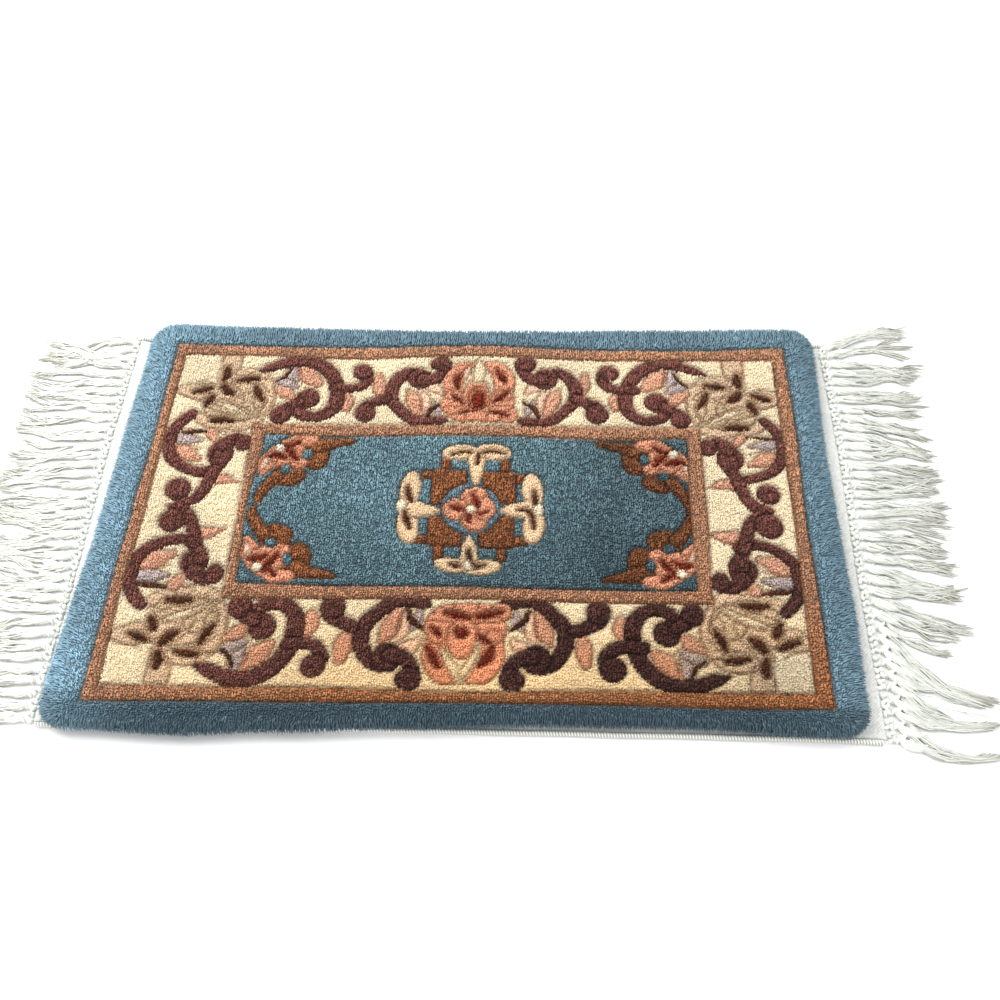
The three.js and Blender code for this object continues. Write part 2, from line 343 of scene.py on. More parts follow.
def frame_bands():
    """The nested frames, from the outermost inwards."""
    return [
        band("rust", "rust", BAND_LENGTHS),
        band("cream", "cream", BAND_LENGTHS),
        band("rust", "band", FIELD_LENGTHS),
        band("field_blue", "field", FIELD_LENGTHS),
    ]


def groove(*rows):
    """A carved line: rows of places, with no colour of its own."""
    _, low, high, distance = stroke(None, *[(x, y, 0.01) for x, y in rows])
    return None, low, high, distance


def peony_petals():
    """The flower in the middle of each long border, drawn whole from left to right."""
    return [
        egg("coral", 2, 92, 27, 8.5),
        egg("coral", 27, 91.5, 8, 8, 10),
        egg("coral", -19, 103, 11, 12), egg("coral", 20, 106, 12, 12),
        stroke("coral", (-5, 145.5, 2.5), (-15, 140, 7), (-20.5, 128, 9), (-20, 114, 8)),
        stroke("coral", (6, 145.5, 2.5), (17, 139, 8), (22, 128, 9.5), (22, 114, 8)),
        egg("coral", -1, 112, 11, 16.5),
        groove((-10, 124), (-12.5, 112), (-10, 101), (0, 95.5)),
        groove((9, 124), (11.5, 112), (9, 101), (0, 95.5)),
        groove((-29, 112), (-19, 117), (-12, 112)), groove((31, 113), (20, 118), (11, 112)),
        groove((-27, 98), (-12, 99), (0, 95.5)), groove((32, 99), (14, 100), (0, 95.5)),
        groove((-24, 90), (-8, 93), (0, 95.5), (12, 93), (26, 88)),
        groove((-8, 93), (-9, 85)), groove((9, 93), (10, 85)),
    ]


def peony_back():
    """The shading and the pale gap of the back flower."""
    return [
        stroke("blush", (-7, 144, 1), (-10, 137, 3), (-11, 129, 1)),
        stroke("cream", (0, 148, 2.5), (1, 139, 5.2), (0, 131, 5), (-1, 128, 3)),
        egg("deep_coral", 0, 108, 7.5, 12.5), egg("garnet", 1, 107, 5, 8.5),
        *shaded("garnet", (-15, 135, 0.8), (-18, 129, 2.4), (-17, 120, 1)),
        *shaded("garnet", (16, 139, 0.8), (20, 132, 2.8), (23, 126, 1)),
        *shaded("garnet", (-20, 112, 0.8), (-16, 108, 1.8), (-12, 104, 0.8)),
        *shaded("garnet", (26, 117, 0.9), (20, 111, 2.5), (14, 105, 1)),
        stroke("garnet", (27, 91, 0.8), (19, 94, 1.6), (11, 96, 0.8)),
        stroke("garnet", (-14, 94, 0.8), (-8, 95.5, 1.3), (-3, 95, 0.8)),
        stroke("cream", (-20, 83.5, 1), (0, 82.8, 1.8), (22, 83, 1)),
    ]


def peony_front():
    """The shading and the pale gaps of the front flower."""
    return [
        stroke("cream", (-16, 119, 0.8), (-11, 129, 2.6), (-3, 140, 4), (0, 146, 2)),
        stroke("cream", (12, 117, 0.8), (8, 128, 2.4), (1, 140, 3.2)),
        *shaded("garnet", (-15, 91, 1.4), (-6, 93, 3), (3, 95, 1.6)),
        *shaded("garnet", (9, 94, 1.4), (17, 93, 2.8), (27, 91, 1.4)),
        *shaded("garnet", (-5, 105, 2), (-2, 107.5, 4), (1, 107.5, 2.4)),
        *shaded("garnet", (-24, 104, 1), (-20, 107, 2.2), (-18, 110, 1.2)),
        *shaded("garnet", (-26, 119, 1.2), (-21, 128, 2.8), (-17, 134, 1.4)),
        *shaded("garnet", (22, 119, 1.4), (19, 127, 3.8), (13, 133, 1.8)),
        *shaded("garnet", (11, 109, 1), (15, 112, 1.8), (20, 116, 1)),
    ]


def corner_scroll():
    """The big plum scroll by each corner, on the long borders."""
    return [
        stroke("plum", (187, 137, 1.2), (177, 140.5, 4.2), (163, 146, 5.2), (148, 146.8, 5.4),
               (133, 139.5, 5.8), (122.5, 126, 5.8), (118.3, 110, 5.8), (119.5, 97, 5.6),
               (127, 88.5, 4.8), (137, 86.5, 4.4), (147, 90, 4.8), (152, 99, 5.5)),
        egg("plum", 143.5, 105.5, 9.6, 9.8),
        stroke("plum", (150, 101, 4.5), (157, 97.5, 5), (163, 90, 7.5)),
        egg("plum", 163, 89.5, 8.2, 8.8),
    ]


def link_scroll():
    """The small hook that leaves the big scroll towards the flower."""
    return [
        stroke("plum", (120, 117, 4.6), (108, 116.5, 4.2), (99, 119, 4.6), (93.5, 126, 4.8),
               (92, 134, 3)),
        egg("plum", 98.5, 134.5, 8.6, 8.6),
    ]


def flower_scroll():
    """The plum balls beside the flower."""
    return [
        egg("plum", 48.5, 129.5, 10.6, 10.6),
        stroke("plum", (46, 128, 6), (38, 129, 5.6), (32, 134, 5.2), (29, 141, 5.4)),
        egg("plum", 31.8, 145.8, 9, 8.2),
        stroke("plum", (76, 107, 5), (84, 103.5, 5), (92, 98, 6), (93, 92, 8)),
        egg("plum", 92.5, 91.5, 9, 9.4),
    ]


def flower_ring():
    """The plum ring round the leaves beside the flower, and its foot."""
    return [
        stroke("plum", (49, 136.5, 4.6), (58, 136.5, 4.8), (65.5, 131, 5.6), (71, 121, 5.8),
               (72, 111, 5.8), (69, 103, 5.8), (62.5, 95.5, 5.2), (55, 88, 5.2),
               (48, 84.5, 5), (40, 84.5, 4.6), (31, 85.5, 4.4), (26, 86, 3.4)),
    ]


def corner_leaves():
    """The striped leaves inside the big scroll."""
    return [
        stroke("blush", (160, 141, 2), (153, 134, 4), (145, 126, 3)),
        stroke("leaf", (152, 139, 3.5), (144, 129, 8), (136, 121, 4)),
        stroke("lilac", (158, 142, 2), (160, 134, 5.5), (156, 126, 3)),
        stroke("lilac", (171, 126, 3), (162, 121.5, 5), (154, 118, 2)),
        stroke("umber", (161, 139, 0.9), (165, 131, 1.7), (172, 125, 0.9)),
        groove((154, 140), (151, 130), (150, 120)), groove((166, 128), (153, 122)),
        stroke("leaf", (170, 117, 3), (162, 112, 5.8), (156, 106, 3)),
    ]


def link_leaves():
    """The small leaves above and below the hook."""
    return [
        stroke("leaf", (81, 108, 3), (82.5, 119, 6.4), (84, 130, 4)),
        stroke("leaf", (109, 95, 4), (109, 102, 6), (111, 111, 3)),
    ]


def flower_leaves():
    """The leaves between the flower and its scroll."""
    return [
        stroke("blush", (48, 116, 2), (43, 106, 5), (42, 92, 2.5)),
        stroke("leaf", (57, 116, 2), (52, 105, 6.6), (47, 91, 4)),
        stroke("blush", (46, 123, 2), (37, 120, 5.4), (30, 114, 2.5)),
        stroke("lilac", (36, 104, 2), (32, 97, 4), (31, 90, 2)),
        stroke("umber", (40, 89, 1.7), (37, 97, 2.4), (28, 104, 1.4)),
        groove((47, 112), (46, 100), (43, 90)),
    ]


def side_arc():
    """The long plum arc of the short borders."""
    return [
        stroke("plum", (237.5, 89, 4.8), (244, 82, 5.4), (250, 72, 5.6), (251, 60, 5.6),
               (248.5, 48.5, 5.4), (240, 39, 5), (228, 33.2, 4.8), (216, 31.5, 5), (209, 35, 5.5)),
    ]


def side_head():
    """The plum stem that leaves the middle of the short border and ends in a heavy curl."""
    return [
        egg("plum", 206, 50.5, 10.8, 12, 15),
        stroke("plum", (206, 38, 6), (203, 48, 8)),
        stroke("plum", (204, 59, 7), (197, 65, 5.5), (189, 64.5, 5)),
        egg("plum", 188.5, 61, 7.2, 8.6),
        stroke("plum", (208, 33, 5.6), (211.5, 22, 5.4), (215, 12, 5.2), (221.5, 4, 5),
               (231, 0.5, 4.6)),
    ]


def side_ball():
    """The plum ball inside the arc of the short borders."""
    return [egg("plum", 234.5, 14.5, 10.4, 10.4)]


def side_leaves():
    """The leaves of the short borders."""
    return [
        stroke("lilac", (248, 63, 4), (237, 63, 5.6), (224, 62, 2)),
        stroke("umber", (247, 69.5, 1.4), (235, 70.5, 2.2), (222, 72, 1.2)),
        stroke("leaf", (247, 54, 4), (236, 49, 7.6), (223, 44, 3)),
        groove((248, 57.5), (236, 57), (223, 54)),
        stroke("leaf", (207, 25, 6), (199, 25, 4.8), (186, 21.5, 0.6)),
        stroke("leaf", (217, 70, 5), (212, 63, 3.4)),
    ]


def corner_rose():
    """The pale rose in each corner of the cream border."""
    petals = [
        stroke("tan", (212.5, 155, 8.5), (212.5, 140, 8.5), (215, 126, 7)),
        stroke("tan", (255, 112, 2), (246, 113.5, 6.5), (236, 112, 9), (226, 111, 9)),
        stroke("tan", (204, 130, 7), (192, 130, 7.5), (181, 124, 7)),
        stroke("tan", (180, 120, 7.5), (177, 108, 7.5), (178, 94, 7)),
        stroke("tan", (228, 84, 6), (212, 78, 7), (192, 79, 6), (180, 83, 4)),
        egg("tan", 204, 102, 27, 20),
        egg("shadow_tan", 192, 98, 13, 15, 20),
        egg("shadow_tan", 216, 91, 12, 8, 15),
        stroke("cream", (218, 100, 1.2), (207, 97, 3), (194, 91, 1.8), (188, 86, 0.8)),
    ]
    folds = [
        groove((228, 126), (236, 122), (247, 120), (256, 114)),
        groove((232, 101), (241, 104), (252, 109)),
        groove((222, 152), (221, 138), (222, 128)), groove((204.5, 152), (204, 140), (208, 131)),
        groove((206, 122), (196, 123), (184, 121), (176, 113)),
        groove((207, 120), (199, 112), (195, 101), (199, 92)),
        groove((190, 122), (186, 112), (187, 100), (180, 88)),
        groove((222, 104), (210, 103), (198, 98), (188, 92)),
        groove((229, 97), (217, 92), (203, 88), (190, 82)),
        groove((232, 92), (222, 85), (214, 78)), groove((200, 80), (188, 87), (181, 97)),
        groove((222, 124), (214, 121), (204, 124)), groove((201, 76), (214, 73), (226, 77)),
        groove((172, 118), (171, 104), (174, 92), (182, 84)),
    ]
    dashes = [
        *shaded("umber", (215.5, 138, 2.4), (215, 132, 3.6), (216.5, 127, 2.2)),
        *shaded("umber", (215.5, 119, 3), (211.5, 114.5, 4), (206.5, 111, 1.8)),
        *shaded("umber", (240, 112, 1.8), (233, 114.5, 2.8), (227, 117.5, 1.6)),
        *shaded("umber", (224.5, 107.5, 2.6), (226, 103, 3.2), (228.5, 98.5, 1.8)),
        *shaded("umber", (204, 126, 1.6), (196, 127.5, 2.8), (188, 128.5, 1.8)),
        *shaded("umber", (188, 119.5, 1.8), (185, 112, 3), (181, 105.5, 1.6)),
        *shaded("umber", (219.5, 83.5, 2.2), (211, 84, 3.2), (202.5, 83.5, 2)),
    ]
    return petals + folds + dashes


def field_corner():
    """The coral flower and rust clouds in each corner of the blue field."""
    return [
        egg("field_rust", 146.5, 28, 14, 11),
        stroke("field_rust", (156, 26, 6), (162, 18, 5), (167, 9, 4.4), (167, 0, 1.8)),
        egg("field_rust", 127, 46.5, 10.5, 13.5),
        stroke("field_rust", (130, 56, 8), (120, 58, 6), (110, 60, 4.2), (101, 61.5, 2.8),
               (96, 62.5, 0.8)),
        stroke("coral", (168.5, 31, 3.5), (165, 41, 8), (159, 52, 7)),
        stroke("coral", (154, 58, 5), (143, 62, 6.6), (132, 62.5, 5)),
        egg("coral", 150, 48, 14, 11, -30),
        egg("coral", 140, 40, 7, 6),
        stroke("blush", (169, 33, 1.2), (167, 41, 3), (165, 49, 1)),
        egg("field_blue", 149.5, 33.5, 5, 4.4),
        egg("field_blue", 134.5, 48.5, 4, 5.6, 15),
        *shaded("garnet", (165, 47, 1.4), (159, 48, 3), (152, 45, 1.6)),
        *shaded("garnet", (157, 58, 1), (149, 57, 2), (143, 61.5, 1.2)),
        *shaded("garnet", (152, 54, 1.4), (147, 50, 2.6), (143, 44, 1.6)),
        groove((153, 55), (157, 44), (158, 38)), groove((134, 34), (140, 38), (146, 38.6)),
        groove((158, 36), (162, 42), (170, 44)), groove((136, 56), (141, 56), (150, 62)),
        egg("milk", 157.5, 55, 4.2, 4),
    ]


def medallion():
    """The round medallion in the middle of the field."""
    steps = [
        bar("field_rust", -20, 39, 4, 8.5), bar("field_rust", 27, 39, 4, 8.5),
        bar("field_rust", -23, -39, 4, 8.5), bar("field_rust", 25.5, -39, 3.5, 8.5),
        bar("field_rust", -31, 31, 8, 4), bar("field_rust", 37, 28.5, 8, 4),
        bar("field_rust", -36, -29.5, 8, 3.8), bar("field_rust", 37, -30, 8, 4),
        bar("field_rust", -16.5, 19.5, 14, 16.5), bar("field_rust", 23, 20, 13, 15),
        bar("field_rust", -18, -21, 14, 13.5), bar("field_rust", 21.5, -21, 13.5, 14.5),
    ]
    caps = [
        egg("ivory", -9, 53.5, 15.5, 7.4, 4), egg("ivory", 17, 54.5, 14.5, 8, -6),
        egg("ivory", -12, -50.5, 14.5, 6.4, -6), egg("ivory", 11, -52, 15, 7, 4),
        egg("ivory", -47.5, 17, 8.6, 17, -6), egg("ivory", -48, -17, 9, 16.5, 6),
        egg("ivory", 49, 17, 8.6, 16.5, 6), egg("ivory", 50, -16, 8.6, 16.5, -6),
        stroke("ivory", (4, 47, 7), (4.5, 36, 5.5), (4.5, 26, 3)),
        stroke("ivory", (1, -47, 7.5), (1, -36, 6), (0.5, -25.5, 2.2)),
        stroke("ivory", (-43, -2, 8), (-33, -3, 5.5), (-24, -3, 2.5)),
        stroke("ivory", (45, -1, 8), (35, -1, 6.5), (26, -1, 2.2)),
        egg("milk", 2, -50, 5, 5), egg("milk", -54, 1, 4.5, 6), egg("milk", 54, -1, 4, 6),
    ]
    dashes = [
        *shaded("umber", (-16, 51.5, 0.6), (-8, 54, 1.1), (-1, 54.5, 0.7)),
        *shaded("umber", (8, 54.5, 0.7), (16, 55.5, 1.1), (26, 53.5, 0.7)),
        *shaded("umber", (5, 53, 0.6), (5, 48, 1.2), (4.5, 43, 0.8)),
        *shaded("umber", (-13, -49.5, 0.7), (-9, -50.5, 1.6), (-6, -51, 0.8)),
        *shaded("umber", (4, -48, 0.8), (7, -51, 1.8), (13, -50, 0.8)),
        *shaded("umber", (1, -37, 0.8), (1, -41, 1.6), (3, -46, 1)),
        *shaded("umber", (-49.5, 19, 1), (-48.5, 12, 2), (-46, 6, 1)),
        *shaded("umber", (-51, -4, 1), (-49.5, -11, 2.2), (-46.5, -19, 1)),
        *shaded("umber", (50.5, 16, 1), (51, 10, 2), (51, 4, 1)),
        *shaded("umber", (38, -1, 0.6), (44, -1, 1.1), (48.5, -6, 1.4), (50, -18, 0.8)),
    ]
    heart = [
        egg("ring_blue", 1, 0, 23.5, 23),
        egg("coral", 4, 11, 11, 9.5, 10), egg("coral", -10.5, -1, 10.5, 10.5),
        egg("coral", 4, -11.5, 10.5, 9, -20), egg("coral", 12, 0, 9, 10.5),
        *shaded("garnet", (3, 14, 1), (5, 8, 2.4), (6.5, 3, 1.4)),
        *shaded("garnet", (-13, 2, 1.6), (-8, 0.5, 2.4), (-4, 0, 1)),
        *shaded("garnet", (0, -4, 1.6), (0, -8, 2), (0.5, -11.5, 1)),
        stroke("garnet", (5, -2, 0.8), (10, -4, 1.2), (15, -2, 0.8)),
        groove((14, 14), (8, 6), (3, 2)), groove((-6, 14), (-3, 8), (0, 3)),
        groove((12, -10), (8, -5), (4, -1)), groove((-6, -13), (-4, -7), (-1, -2)),
        egg("milk", 1.5, 0, 4, 4),
    ]
    return steps + caps + dashes + heart


MOTIFS = {
    "rose": corner_rose(),
    "corner_leaves": corner_leaves(),
    "link_leaves": link_leaves(),
    "flower_leaves": flower_leaves(),
    "corner_scroll": corner_scroll(),
    "link_scroll": link_scroll(),
    "flower_ring": flower_ring(),
    "flower_scroll": flower_scroll(),
    "side_leaves": side_leaves(),
    "side_arc": side_arc(),
    "side_head": side_head(),
    "side_ball": side_ball(),
    "field_corner": field_corner(),
}
# How far each motif strays in each corner from where it is drawn, outwards along the rug and across
# it, and how much thinner it is there.
STRAYS = {
    "back left": {"corner_scroll": (0, 0, -0.8)},
    "back right": {
        "rose": (4, -2.5, 0), "corner_leaves": (4.5, -1, 0), "corner_scroll": (6, 0.5, -0.2),
        "link_leaves": (7, 2.5, 0.8), "link_scroll": (12, 1, 0),
        "flower_ring": (11.5, 0, 0.2), "flower_scroll": (8.5, 0.5, -0.4), "flower_leaves": (12, 1, 0),
        "side_arc": (0, -1, 0.7), "side_head": (2, 0.5, 0), "side_ball": (0.5, 2, 1.2),
        "side_leaves": (0.5, 0, 0.6), "field_corner": (4.5, -0.5, 0),
    },
    "front left": {
        "rose": (5, 0, 0), "corner_leaves": (4.5, -1, 0), "corner_scroll": (5.5, 0, -1),
        "link_leaves": (4, 1, -0.6), "link_scroll": (8, 2, -0.4),
        "flower_ring": (3, -2, -0.2), "flower_scroll": (6, -2, -0.4), "flower_leaves": (3, 0, -0.4),
        "side_arc": (5.5, -0.5, 0.2), "side_head": (4.5, 1, 0), "side_ball": (-0.5, 0, 0),
        "side_leaves": (5, 1, -0.4), "field_corner": (3.5, 1, 0),
    },
    "front right": {
        "rose": (2, -3, 0), "corner_leaves": (3, 1.5, 0), "corner_scroll": (4.5, 0, -0.6),
        "link_leaves": (5, 1, 0), "link_scroll": (10, 0, -1),
        "flower_ring": (2.5, -2, -0.2), "flower_scroll": (5.5, -1.5, -0.4), "flower_leaves": (7, 1, 0),
        "side_arc": (-2.5, -3, 0.4), "side_head": (1.5, 1, 0.2), "side_ball": (-3, -2.5, -0.8),
        "side_leaves": (-2.5, -1.5, -0.2), "field_corner": (4.5, 0.5, 0),
    },
}
IN_PLACE = (0, 0, 0)
FRAMES = frame_bands()
BACK_FLOWER = peony_petals() + peony_back()
FRONT_FLOWER = peony_petals() + peony_front()
MIDDLE_SHAPES = medallion()
SEAM_REACH = 6  # how far from a shape its edge still counts
FOLD_SOFTNESS = 0.2  # a fold inside a petal is carved less deep than an edge


def hand_drift(x, y):
    """How far the hand-knotted drawing strays from true at each place."""
    dx = 0.8 * np.sin(y / 31 + 0.7) + 0.5 * np.sin(x / 23 + y / 53 + 2.1)
    dy = 0.7 * np.sin(x / 33 + 1.9) + 0.5 * np.sin(x / 19 - y / 61 + 0.4)
    return x + dx, y + dy


def paint(shapes, x, y, colour, seam, thin=0):
    """Lays shapes over what is painted so far, and keeps the distance to the nearest edge."""
    for name, low, high, distance in shapes:
        near = np.flatnonzero((x > low[0] - SEAM_REACH) & (x < high[0] + SEAM_REACH)
                              & (y > low[1] - SEAM_REACH) & (y < high[1] + SEAM_REACH))
        if not len(near):
            continue
        if name is None:
            seam[near] = np.minimum(seam[near], FOLD_SOFTNESS + np.abs(distance(x[near], y[near])))
            continue
        d = distance(x[near], y[near]) + thin
        inside = d < 0
        colour[near[inside]] = DYE_NAMES.index(name)
        seam[near] = np.where(inside, -d, np.minimum(seam[near], d))


def of_dye(colour, *names):
    """Where the wool has one of some dyes."""
    return np.isin(colour, [DYE_NAMES.index(name) for name in names])


def design(x, y):
    """The dye at each place and the distance to the nearest edge between two shapes."""
    colour = np.full(len(x), DYE_NAMES.index("border_blue"))
    seam = np.full(len(x), float(SEAM_REACH))
    paint(FRAMES, x, y, colour, seam)
    ground, frame_seam = colour.copy(), seam.copy()
    x, y = hand_drift(x, y)
    for corner, strays in STRAYS.items():
        sx = 1 if "right" in corner else -1
        sy = 1 if "back" in corner else -1
        here = np.flatnonzero((x * sx >= 0) & (y * sy >= 0))
        some_colour, some_seam = colour[here], seam[here]
        for name, shapes in MOTIFS.items():
            along, across, thin = strays.get(name, IN_PLACE)
            paint(shapes, np.abs(x[here]) - along, np.abs(y[here]) - across,
                  some_colour, some_seam, thin)
        colour[here], seam[here] = some_colour, some_seam
    paint(BACK_FLOWER, x, y, colour, seam)
    paint(FRONT_FLOWER, x, 1.0 - y, colour, seam)
    # no motif runs over a rust band or the blue border
    banded = of_dye(ground, "rust", "border_blue")
    colour = np.where(banded, ground, colour)
    seam = np.where(banded, frame_seam, np.minimum(seam, frame_seam))
    paint(MIDDLE_SHAPES, x, y, colour, seam)
    return colour, np.minimum(seam, SEAM_REACH)


# How the dye lot varies over the rug, and the light and shade painted over it

# Painted light over the rug: the share of light on the field at places along it, a little weaker on
# the field's rust wool, and the light on the border's sides.
FIELD_TONES = table("at share", (-170, 1.0), (-60, 1.08), (40, 0.92), (120, 0.62), (170, 0.66))
FIELD_RUST_POWER = 0.8  # the rust wool of the field varies a little less than the blue
BORDER_TONE = 0.72
# How much painted light or shade the wool gets, and the places between which it changes.
FIELD_FRONT = (-0.22, 10, -60)
BORDER_LEFT = (0.33, -180, -275)
BORDER_RIGHT = (0.14, 200, 275)
BORDER_FRONT = (-0.42, -150, -168)
BORDER_CORNER = (0.2, -90, -150)
PLUM_FRONT = (-0.6, 20, -120)
RUST_RIGHT = (0.3, 40, 190)
RUST_FRONT = 1.2
# Painted shade: how much red, green and blue is taken off the wool's colour: all of it towards the
# front, the rust wool towards the right and the front, and the pale wool in the front right corner.
FRONT_PAINTED_SHADE = np.array([0.02, 0.14, 0.32])
RUST_PAINTED_SHADE = np.array([0.10, 0.17, 0.25])
CORNER_SHADE = np.array([0.27, 0.19, 0.03])


def change(row, place):
    """How much painted light or shade the wool gets at each place, by one of the rows above."""
    amount, low, high = row
    return amount * ease(low, high, place)


def blue_painted_light(x, y, field, edge):
    """The painted light and shade on the blue wool of the field and of the border, as a share."""
    field_share = between(FIELD_TONES, "share", x) * (1 + change(FIELD_FRONT, y))
    side = BORDER_TONE + change(BORDER_LEFT, x) + change(BORDER_RIGHT, x)
    side = side * (1 + change(BORDER_FRONT, y)) + change(BORDER_CORNER, y) * ease(-240, -275, x)
    return np.where(field, field_share, np.where(edge, side, 1))


def dye_lot_and_painted_light(x, y, colour):
    """How much lighter or darker the wool is at each place, in red, green and blue: a little from the
    dye lot, and the rest painted light and shade.
    """
    field, edge = of_dye(colour, "field_blue"), of_dye(colour, "border_blue")
    plum = of_dye(colour, "plum")
    rusty = of_dye(colour, "rust", "field_rust")
    cool = field | edge | plum
    tone = 1 + 0.05 * np.sin(x / 41 + 1) * np.sin(y / 29) + 0.04 * np.sin(x / 17 + y / 23)
    # the rest is painted light and shade: over the blue wool, on the plum towards the front right, on
    # the field's rust, and towards the front and right
    tone = tone * blue_painted_light(x, y, field, edge)
    tone = np.where(plum, tone * (1 + change(PLUM_FRONT, y) * ease(-200, 60, x)), tone)
    rust_share = between(FIELD_TONES, "share", x) ** FIELD_RUST_POWER
    tone = np.where(of_dye(colour, "field_rust"), tone * rust_share, tone)
    front = np.where(cool, 0, ease(-50, -165, y) * ease(-300, -60, x))
    right = np.where(rusty, change(RUST_RIGHT, x) + RUST_FRONT * front, 0)
    corner = np.where(cool | rusty, 0, ease(150, 235, x) * ease(-95, -135, y))
    shades = ((FRONT_PAINTED_SHADE, front), (RUST_PAINTED_SHADE, right), (CORNER_SHADE, corner))
    share = tone[:, None]
    for shade, amount in shades:
        share = share * (1 - shade * amount[:, None])
    return share


# The pile's form

LONG_EDGES = table(
    "at front back",
    (-270, 185.5, 189.5),
    (-200, 188.0, 187.0),
    (-130, 184.5, 185.5),
    (-40, 180.0, 184.3),
    (60, 176.5, 185.2),
    (150, 176.0, 186.8),
    (265, 180.0, 189.2),
)
SHORT_EDGES = table(
    "at left right",
    (-150, 299.5, 286.0),
    (-90, 296.5, 287.5),
    (-30, 293.0, 286.0),
    (60, 291.5, 285.2),
    (160, 289.0, 288.0),
)
PILE_FOOT_Z = 2.7
CORNER_RADIUS = 21
SHOULDER = 8.0  # how far in from the outline the pile starts to round over

# The rounded side as it is walked from the level top: distance walked, how far out, height.
SIDE = table(
    "walked out z",
    (0.0, 0.0, 14.5),
    (4.2, 4.1, 13.7),
    (7.6, 6.8, 11.6),
    (10.6, 8.0, 8.8),
    (13.8, 6.6, 5.9),
)
WALK = SIDE["walked"][-1]
HEM = WALK - SHOULDER  # how far the unrolled sheet runs past the outline


def side_row(walked, column):
    """A reading of the side's table at a distance walked."""
    return np.interp(walked, SIDE["walked"], SIDE[column])


def skin(x, y):
    """Places and outward directions on the pile's skin, for points of the unrolled sheet.
    Where the sheet runs past the outline it is wrapped down the pile's side."""
    reach_x, reach_y = side_reach(x, y, LONG_EDGES, SHORT_EDGES)
    inner_x, inner_y = reach_x - SHOULDER, reach_y - SHOULDER
    radius = CORNER_RADIUS - SHOULDER
    over_x = np.abs(x) - (inner_x - radius)
    over_y = np.abs(y) - (inner_y - radius)
    corner = (over_x > 0) & (over_y > 0)
    distance = np.where(corner, np.hypot(over_x, over_y), np.maximum(over_x, over_y)) - radius
    out = np.stack([
        np.where(corner, over_x, over_x >= over_y) * np.sign(x),
        np.where(corner, over_y, over_x < over_y) * np.sign(y),
    ], 1).astype(float)
    out /= np.maximum(np.linalg.norm(out, axis=1), TINY)[:, None]
    walked = np.clip(distance, 0, WALK)
    shift = np.where(distance > 0, side_row(walked, "out") - walked, 0)
    place = np.stack([x + out[:, 0] * shift, y + out[:, 1] * shift, side_row(walked, "z")], 1)
    step = 0.5
    rise = side_row(walked + step, "z") - side_row(walked - step, "z")
    run = side_row(walked + step, "out") - side_row(walked - step, "out")
    run = np.where(walked < step, 1, run)
    normal = np.stack([-rise * out[:, 0], -rise * out[:, 1], run], 1)
    normal /= np.linalg.norm(normal, axis=1)[:, None]
    return place, normal, out, distance


CARVING = 2.4  # depth of the carved lines
CARVING_HALF = 1.15
CARVED_SLOPE = 0.8  # the wool also rounds down gently towards each line
CARVED_REACH = 3.2
SHADE_REACH = 1.4  # how far the shade in a carved line reaches


def carving(seam):
    """How deep the pile is cut at a distance from an edge in the design."""
    line = CARVING * np.exp(-(seam / CARVING_HALF) ** 2)
    return line + CARVED_SLOPE * np.exp(-(seam / CARVED_REACH) ** 2)


# Materials


def fibre_material(name, roughness, specular, grain, bump):
    """A fibre in its own dye with a fine grain: the material, its shader, dye and grain nodes."""
    material, shader = new_material(name, roughness, specular)
    nodes, links = material.node_tree.nodes, material.node_tree.links
    dyed = nodes.new("ShaderNodeAttribute")
    dyed.attribute_name = "dye"
    links.new(dyed.outputs["Color"], shader.inputs["Base Color"])
    place = nodes.new("ShaderNodeTexCoord")
    fleck = nodes.new("ShaderNodeTexNoise")
    fleck.inputs["Scale"].default_value = grain["scale"]
    fleck.inputs["Detail"].default_value = grain["detail"]
    links.new(place.outputs["Object"], fleck.inputs["Vector"])
    relief = nodes.new("ShaderNodeBump")
    relief.inputs["Strength"].default_value = bump["strength"]
    relief.inputs["Distance"].default_value = bump["distance"]
    links.new(fleck.outputs["Fac"], relief.inputs["Height"])
    links.new(relief.outputs["Normal"], shader.inputs["Normal"])
    return material, shader, dyed, fleck


def wool_material():
    """Wool: its dye flecked by the fine fibres, with a soft sheen."""
    material, shader, dyed, fleck = fibre_material(
        "wool", 0.92, 0.1, {"scale": 900, "detail": 3}, {"strength": 0.5, "distance": 0.0004})
    shader.inputs["Sheen Weight"].default_value = 0.08
    shader.inputs["Sheen Roughness"].default_value = 0.6
    nodes, links = material.node_tree.nodes, material.node_tree.links
    shade = nodes.new("ShaderNodeMapRange")
    for field, value in (("From Min", 0.25), ("From Max", 0.75), ("To Min", 0.86), ("To Max", 1.12)):
        shade.inputs[field].default_value = value
    links.new(fleck.outputs["Fac"], shade.inputs["Value"])
    flecked = nodes.new("ShaderNodeVectorMath")
    flecked.operation = "SCALE"
    links.new(dyed.outputs["Color"], flecked.inputs[0])
    links.new(shade.outputs["Result"], flecked.inputs["Scale"])
    links.new(flecked.outputs["Vector"], shader.inputs["Base Color"])
    return material


def cotton_material():
    """Undyed cotton with a faint twist of fibres."""
    return fibre_material(
        "cotton", 0.85, 0.2, {"scale": 1500, "detail": 2}, {"strength": 0.35, "distance": 0.0003})[0]


WOOL = wool_material()
COTTON = cotton_material()

# The pile's body, under the locks of wool

BODY_HALF = (290, 182)  # the outline's half sizes, before its sides are uneven
BODY_PITCH = 2.2
BODY_SINK = 1.7  # how far the body lies under the locks' tips
FOOT_SHARE = 0.985  # the foot is a little smaller than the pile over it
FOOT_LOW = (-283, -174.5)
FOOT_HIGH = (277, 170.5)


